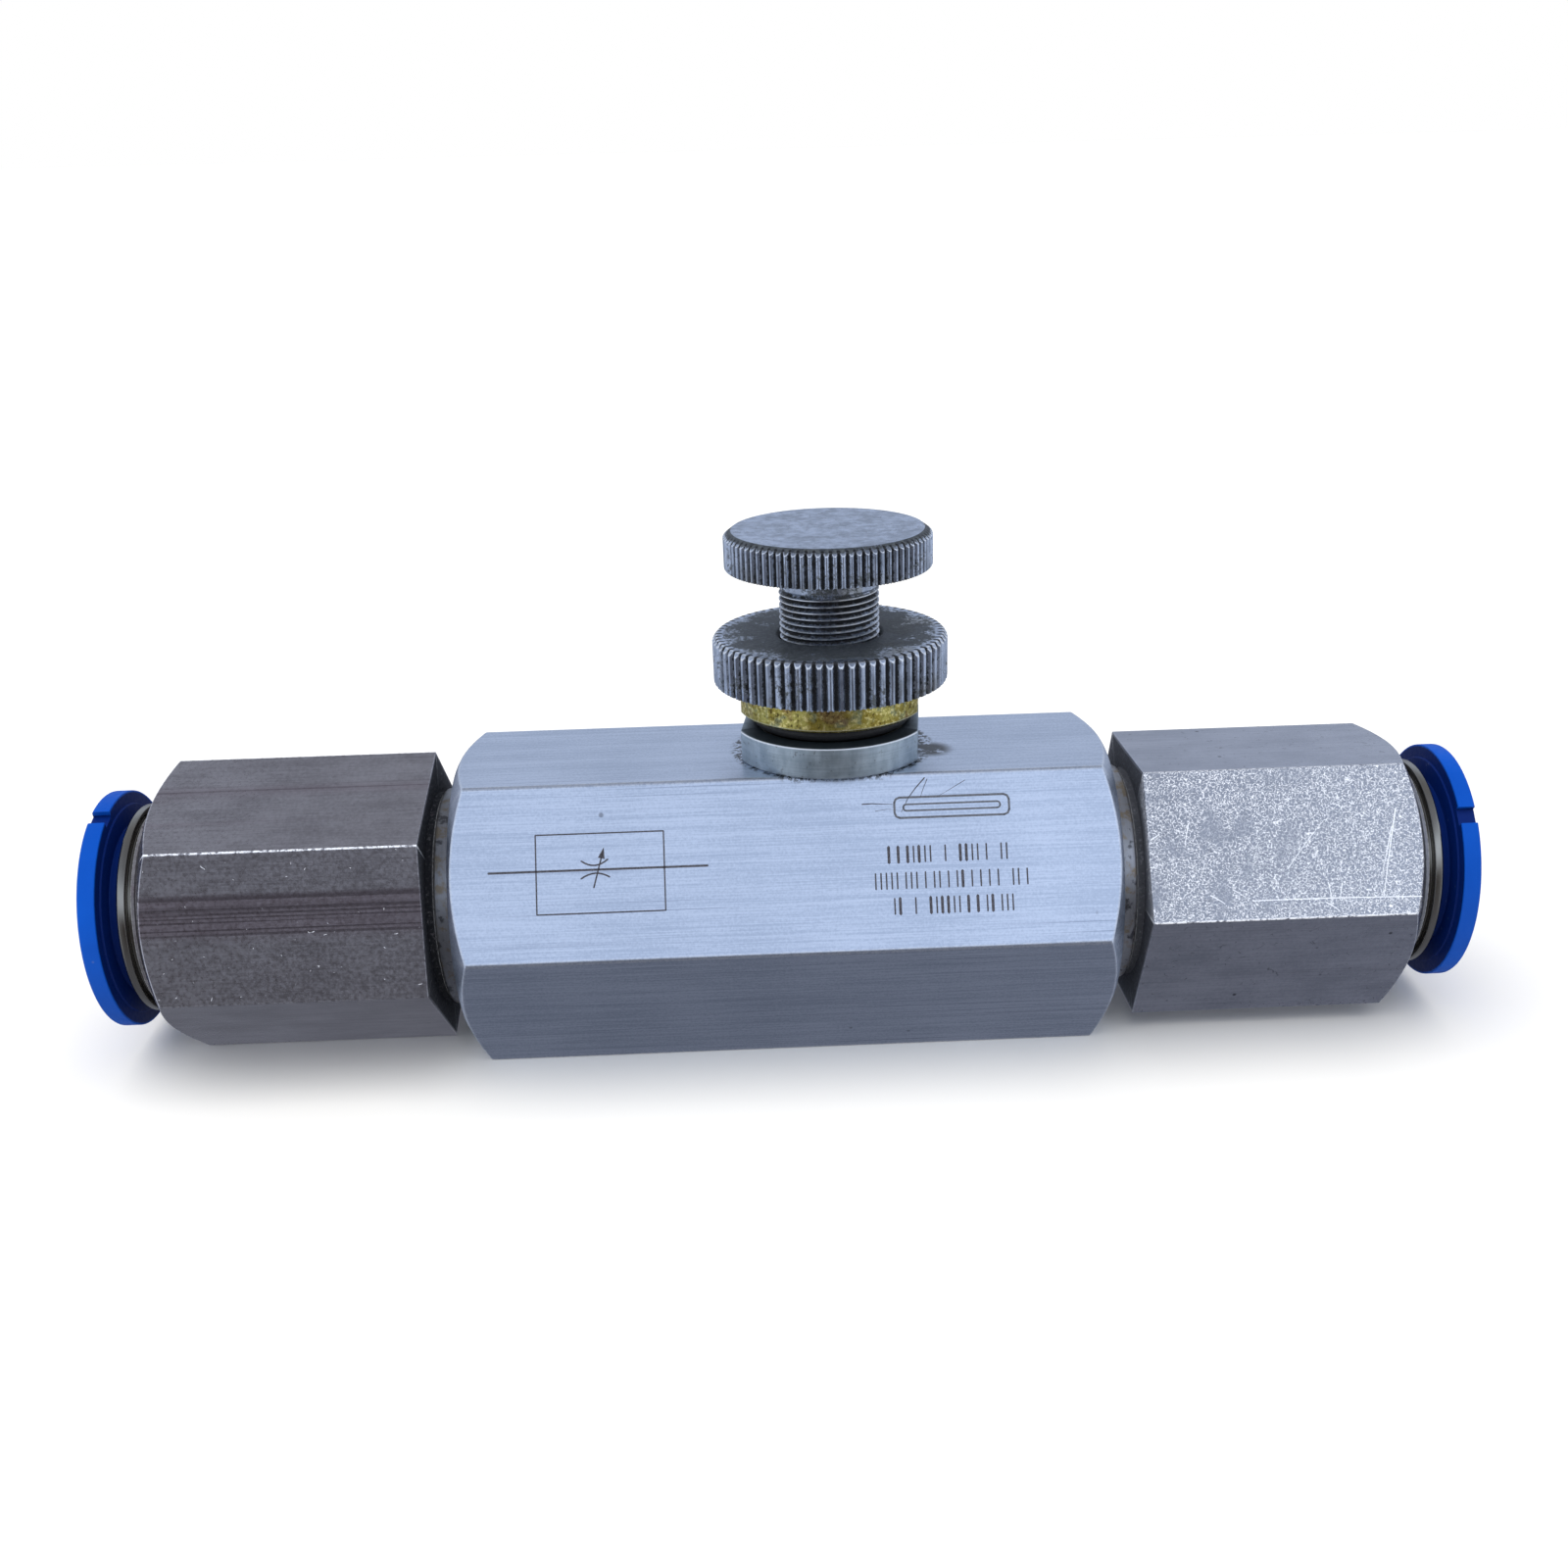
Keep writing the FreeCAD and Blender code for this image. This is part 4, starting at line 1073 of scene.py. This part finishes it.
class Marks:
    """Thin closed strips and plates that stand a hair proud of one flat of a hexagonal bar.

    Their u runs along the bar and v up the flat, both in millimetres."""

    def __init__(self, apothem, facing):
        self.apothem, self.facing = apothem, math.radians(facing)
        self.points, self.faces = [], []

    def point(self, u, v, lift):
        """Point of the flat, raised by lift."""
        reach, cosine, sine = self.apothem + lift, math.cos(self.facing), math.sin(self.facing)
        return u, reach * cosine + v * sine, AXIS_Z + reach * sine - v * cosine

    def plate(self, outline):
        """Flat plate with the given (u, v) outline."""
        count = len(outline)
        base = len(self.points)
        for lift in (-MARK_DEPTH, MARK_PROUD):
            self.points.extend(self.point(u, v, lift) for u, v in outline)
        self.faces.append(tuple(range(base, base + count)))
        self.faces.append(tuple(range(base + count, base + 2 * count)))
        for i in range(count):
            j = (i + 1) % count
            self.faces.append((base + i, base + j, base + count + j, base + count + i))

    def stroke(self, path, width, taper=1.0):
        """Strip along a path with round ends, narrowing to taper times its width."""
        path = [np.array(p, float) for p in path]
        left, right = [], []
        for index, point in enumerate(path):
            before = path[max(index - 1, 0)]
            after = path[min(index + 1, len(path) - 1)]
            step = (after - before) / np.linalg.norm(after - before)
            side = np.array((-step[1], step[0]))
            share = index / (len(path) - 1)
            half = width / 2 * (1 + (taper - 1) * share)
            left.append(point + side * half)
            right.append(point - side * half)
        first = path[0] - (path[1] - path[0]) / np.linalg.norm(path[1] - path[0]) * width / 2
        last = path[-1] + (path[-1] - path[-2]) / np.linalg.norm(path[-1] - path[-2]) * width * taper / 2
        self.plate([first] + right + [last] + left[::-1])

    def frame(self, low, high, width, corner=0.0):
        """Outline of a rectangle as four strips, its corners cut if asked."""
        (u0, v0), (u1, v1), c = low, high, corner
        self.stroke([(u0 + c, v0), (u1 - c, v0)], width)
        self.stroke([(u1, v0 + c), (u1, v1 - c)], width)
        self.stroke([(u1 - c, v1), (u0 + c, v1)], width)
        self.stroke([(u0, v1 - c), (u0, v0 + c)], width)
        if c:
            for u, v, su, sv in ((u0, v0, 1, 1), (u1, v0, -1, 1), (u1, v1, -1, -1), (u0, v1, 1, -1)):
                self.stroke([(u + su * c, v), (u + su * c * 0.3, v + sv * c * 0.3), (u, v + sv * c)], width)

    def build(self, name, slot, material):
        """One object from all strips."""
        piece = mesh_object(name, self.points, self.faces, {})
        shade(piece, material)
        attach(piece, "housing")


def arc(start, end, sag, steps=8):
    """Shallow curve between two points that leaves their chord by sag."""
    (u0, v0), (u1, v1) = start, end
    return [
        (u0 + (u1 - u0) * t, v0 + (v1 - v0) * t + 4 * sag * t * (1 - t))
        for t in np.linspace(0, 1, steps + 1)
    ]


def make_markings():
    """Graphic symbol of an adjustable restrictor, and plain tick rows where a label would be."""
    symbol = Marks(APOTHEM, FRONT)
    symbol.frame((-19.35, -3.1), (-9.47, 3.08), 0.11)
    symbol.stroke([(-23.0, 0.25), (-6.14, 0.25)], 0.17)
    symbol.stroke(arc((-15.86, 0.95), (-13.82, 1.02), -0.40), 0.13)
    symbol.stroke(arc((-15.9, -0.42), (-13.7, -0.35), 0.36), 0.13)
    symbol.stroke([(-14.94, -1.14), (-14.22, 1.5)], 0.12)
    symbol.plate([(-14.10, 1.98), (-14.58, 1.17), (-14.34, 1.12), (-14.06, 1.05)])
    symbol.build("flow_symbol", "anodised_aluminium", LASER)

    plaque = Marks(APOTHEM, FRONT)
    plaque.frame((8.5, 3.4), (17.45, 5.0), 0.17, 0.4)
    plaque.frame((9.2, 3.95), (16.75, 4.45), 0.14, 0.2)
    plaque.build("label_frame", "anodised_aluminium", FADED)

    label, half_height = Marks(APOTHEM, FRONT), 0.62
    chance = random.Random(5)
    for start, end, middle in ((7.9, 18.0, 0.54), (6.8, 19.2, -1.5), (8.2, 17.8, -3.48)):
        position = start
        while position < end:
            width = chance.choice((0.12, 0.12, 0.22))
            label.stroke([(position, middle - half_height), (position, middle + half_height)], width)
            position += width / 2 + chance.choice((0.36, 0.36, 0.62, 1.1))
    label.build("label_ticks", "anodised_aluminium", LASER)

    scratches = Marks(APOTHEM, FRONT)
    for width, taper, path in (
        (0.10, 0.3, [(6.0, 4.58), (6.8, 4.60), (7.6, 4.54), (8.35, 4.5)]),
        (0.10, 0.4, [(10.95, 6.5), (10.2, 5.7), (9.6, 4.95), (9.02, 3.85)]),
        (0.06, 0.4, [(11.15, 6.4), (10.75, 5.5), (10.55, 4.95)]),
        (0.05, 0.3, [(14.1, 6.2), (13.2, 5.7), (12.4, 5.25), (11.8, 4.95)]),
        (0.04, 0.3, [(7.0, 4.0), (7.9, 4.12), (8.7, 4.05)]),
    ):
        scratches.stroke(path, width, taper)
    scratches.build("surface_scratches", "anodised_aluminium", LASER)

    scores = Marks(FITTING_APOTHEM, FRONT + FITTING_TURN["right"])
    for width, taper, sag, start, end in (
        (0.10, 0.4, 0.05, (31.8, 1.8), (31.4, 0.1)),
        (0.10, 0.5, 0.03, (33.1, -4.0), (34.2, -4.7)),
        (0.07, 0.5, 0.03, (34.9, -3.6), (35.8, -4.2)),
        (0.08, 1.0, 0.06, (36.4, -4.55), (49.8, -4.7)),
        (0.11, 0.5, 0.12, (48.4, 2.4), (46.8, -4.6)),
        (0.08, 0.5, -0.08, (47.9, 0.9), (46.9, -2.6)),
        (0.08, 0.6, 0.02, (43.6, -3.4), (43.3, -4.7)),
        (0.08, 0.6, 0.02, (42.5, -3.3), (42.7, -4.8)),
        (0.10, 0.5, 0.05, (42.2, -4.9), (43.2, -5.6)),
        (0.06, 0.5, 0.1, (39.4, -2.1), (42.6, 1.7)),
        (0.12, 0.4, 0.02, (28.75, 0.6), (29.4, 1.0)),
    ):
        scores.stroke(arc(start, end, sag), width, taper)
    scores.build("fitting_scores", "nickel_plated_brass", BRIGHT)


make_valve_body()
make_round_parts()
make_o_ring("flange_o_ring_skin", "flange_o_ring")
make_lock_nut()
make_adjusting_screw()
for side_name, side_sign in SIDES.items():
    make_fitting(side_name, side_sign)
make_markings()


# ---- CAD nodes that stay ----------------------------------------------------------------------

for node_name, thing in frame["nodes"].items():
    if not thing.hide_render:
        thing.data.materials.clear()
        thing.data.materials.append(MATERIALS[SLOT_OF[node_name]])


# ---- floor, light and camera ------------------------------------------------------------------

def make_floor():
    """Large pale floor, level with the bottom flat."""
    mesh = bpy.data.meshes.new("floor")
    size = 12.0
    corners = [(-size, -size, 0), (size, -size, 0), (size, size, 0), (-size, size, 0)]
    mesh.from_pydata(corners, [], [(0, 1, 2, 3)])
    floor = bpy.data.objects.new("floor", mesh)
    bpy.context.scene.collection.objects.link(floor)
    paint = Finish("floor")
    paint.set(Base_Color=(0.90, 0.865, 0.80), Roughness=0.9, Specular_IOR_Level=0.1)
    mesh.materials.append(paint.material)
    floor.location.z = CAD_BOX[0][2] - 0.00002
    floor.visible_glossy = False


# the surroundings' brightest level; their colours are stored as shares of it
STRENGTH = 2.0


def make_world():
    """Soft studio surroundings: a broad light band in front, a dimmer one behind, dark elsewhere.

    Each band is a list of (sine of the elevation, colour)."""
    world = bpy.data.worlds.new("studio")
    bpy.context.scene.world = world
    world.use_nodes = True
    world.node_tree.nodes.clear()
    sky = Graph(world.node_tree)
    place = sky.node("ShaderNodeTexCoord", "Generated")
    x, y, z = sky.axes(place)
    height = sky.node("ShaderNodeMapRange", 0, {"Value": z, "From Min": -1.0})

    def band(*stops):
        ramp = sky.nodes.new("ShaderNodeValToRGB")
        ramp.color_ramp.interpolation = "B_SPLINE"
        elements = ramp.color_ramp.elements
        elements.remove(elements[0])
        for index, (level, colour) in enumerate(stops):
            element = elements[0] if index == 0 else elements.new((level + 1) / 2)
            element.position = (level + 1) / 2
            element.color = (*(channel / STRENGTH for channel in colour), 1)
        sky.put(ramp.inputs[0], height)
        return ramp.outputs[0]

    front = band(
        (-1.0, (0.13, 0.14, 0.17)), (-0.95, (0.17, 0.18, 0.22)), (-0.6, (0.135, 0.14, 0.17)),
        (-0.1, (0.085, 0.082, 0.085)), (0.06, (0.088, 0.080, 0.088)), (0.2, (0.20, 0.21, 0.24)),
        (0.40, (0.80, 0.90, 1.10)), (0.62, (0.84, 0.97, 1.20)), (0.72, (0.55, 0.62, 0.76)),
        (0.84, (0.28, 0.31, 0.38)), (1.0, (0.28, 0.30, 0.36)))
    back = band(
        (-1.0, (0.13, 0.14, 0.17)), (-0.88, (0.25, 0.27, 0.33)), (-0.5, (0.19, 0.20, 0.23)),
        (-0.1, (0.19, 0.20, 0.23)), (0.2, (0.48, 0.54, 0.66)), (0.35, (0.62, 0.70, 0.86)),
        (0.5, (0.60, 0.68, 0.84)), (0.66, (0.40, 0.45, 0.55)), (0.82, (0.30, 0.31, 0.34)),
        (1.0, (0.28, 0.30, 0.36)))
    right = sky.ramp(x, 0.02, 0.30, 0.0, 0.35)
    left = sky.ramp(x, -0.05, -0.30, 0.0, 0.12)
    gain = sky.plus(sky.plus(right, left), 1.0)
    front = sky.node("ShaderNodeVectorMath", 0, {0: front, "Scale": gain}, operation="SCALE")
    light = sky.mix(sky.ramp(y, -0.35, 0.35), front, back)
    level = sky.ramp(sky.math("ABSOLUTE", z), 0.85, 0.35)
    beside = sky.times(sky.ramp(sky.math("ABSOLUTE", x), 0.35, 0.75), level)
    light = sky.mix(beside, light, tuple(channel / STRENGTH for channel in (0.64, 0.70, 0.82)))
    camera_ray = sky.node("ShaderNodeLightPath", "Is Camera Ray")
    light = sky.mix(camera_ray, light, (1 / STRENGTH,) * 3)
    shown = sky.node("ShaderNodeBackground", 0, {"Color": light, "Strength": STRENGTH})
    sky.put(sky.nodes.new("ShaderNodeOutputWorld").inputs[0], shown)


def make_lights():
    """Wide overhead light for the floor and the plastics."""
    data = bpy.data.lights.new("overhead", "SUN")
    data.energy = 2.6
    data.angle = math.radians(75)
    lamp = bpy.data.objects.new("overhead", data)
    lamp.rotation_euler = (math.radians(12), math.radians(-8), 0)
    lamp.visible_glossy = False
    bpy.context.scene.collection.objects.link(lamp)


def make_camera():
    """Camera just in front of and above the valve."""
    elevation, azimuth, roll = (math.radians(angle) for angle in (23.643, -1.851, -1.422))
    distance = 0.143428
    target = Vector((0.002761, 0, 0.012))
    back = Vector((
        math.sin(azimuth) * math.cos(elevation),
        -math.cos(azimuth) * math.cos(elevation),
        math.sin(elevation),
    ))
    right = Vector((0, 0, 1)).cross(back).normalized()
    up = back.cross(right)
    tilted_right = math.cos(roll) * right + math.sin(roll) * up
    tilted_up = math.cos(roll) * up - math.sin(roll) * right
    data = bpy.data.cameras.new("camera")
    data.sensor_width = 36
    data.lens = 39.02
    data.shift_x = -0.0223
    data.shift_y = 0.0623
    data.clip_start = 0.005
    camera = bpy.data.objects.new("camera", data)
    rotation = Matrix((tilted_right, tilted_up, back)).transposed().to_4x4()
    camera.matrix_world = Matrix.Translation(target + distance * back) @ rotation
    bpy.context.scene.collection.objects.link(camera)
    bpy.context.scene.camera = camera


make_floor()
make_world()
make_lights()
make_camera()
bpy.context.scene.view_settings.view_transform = "Standard"
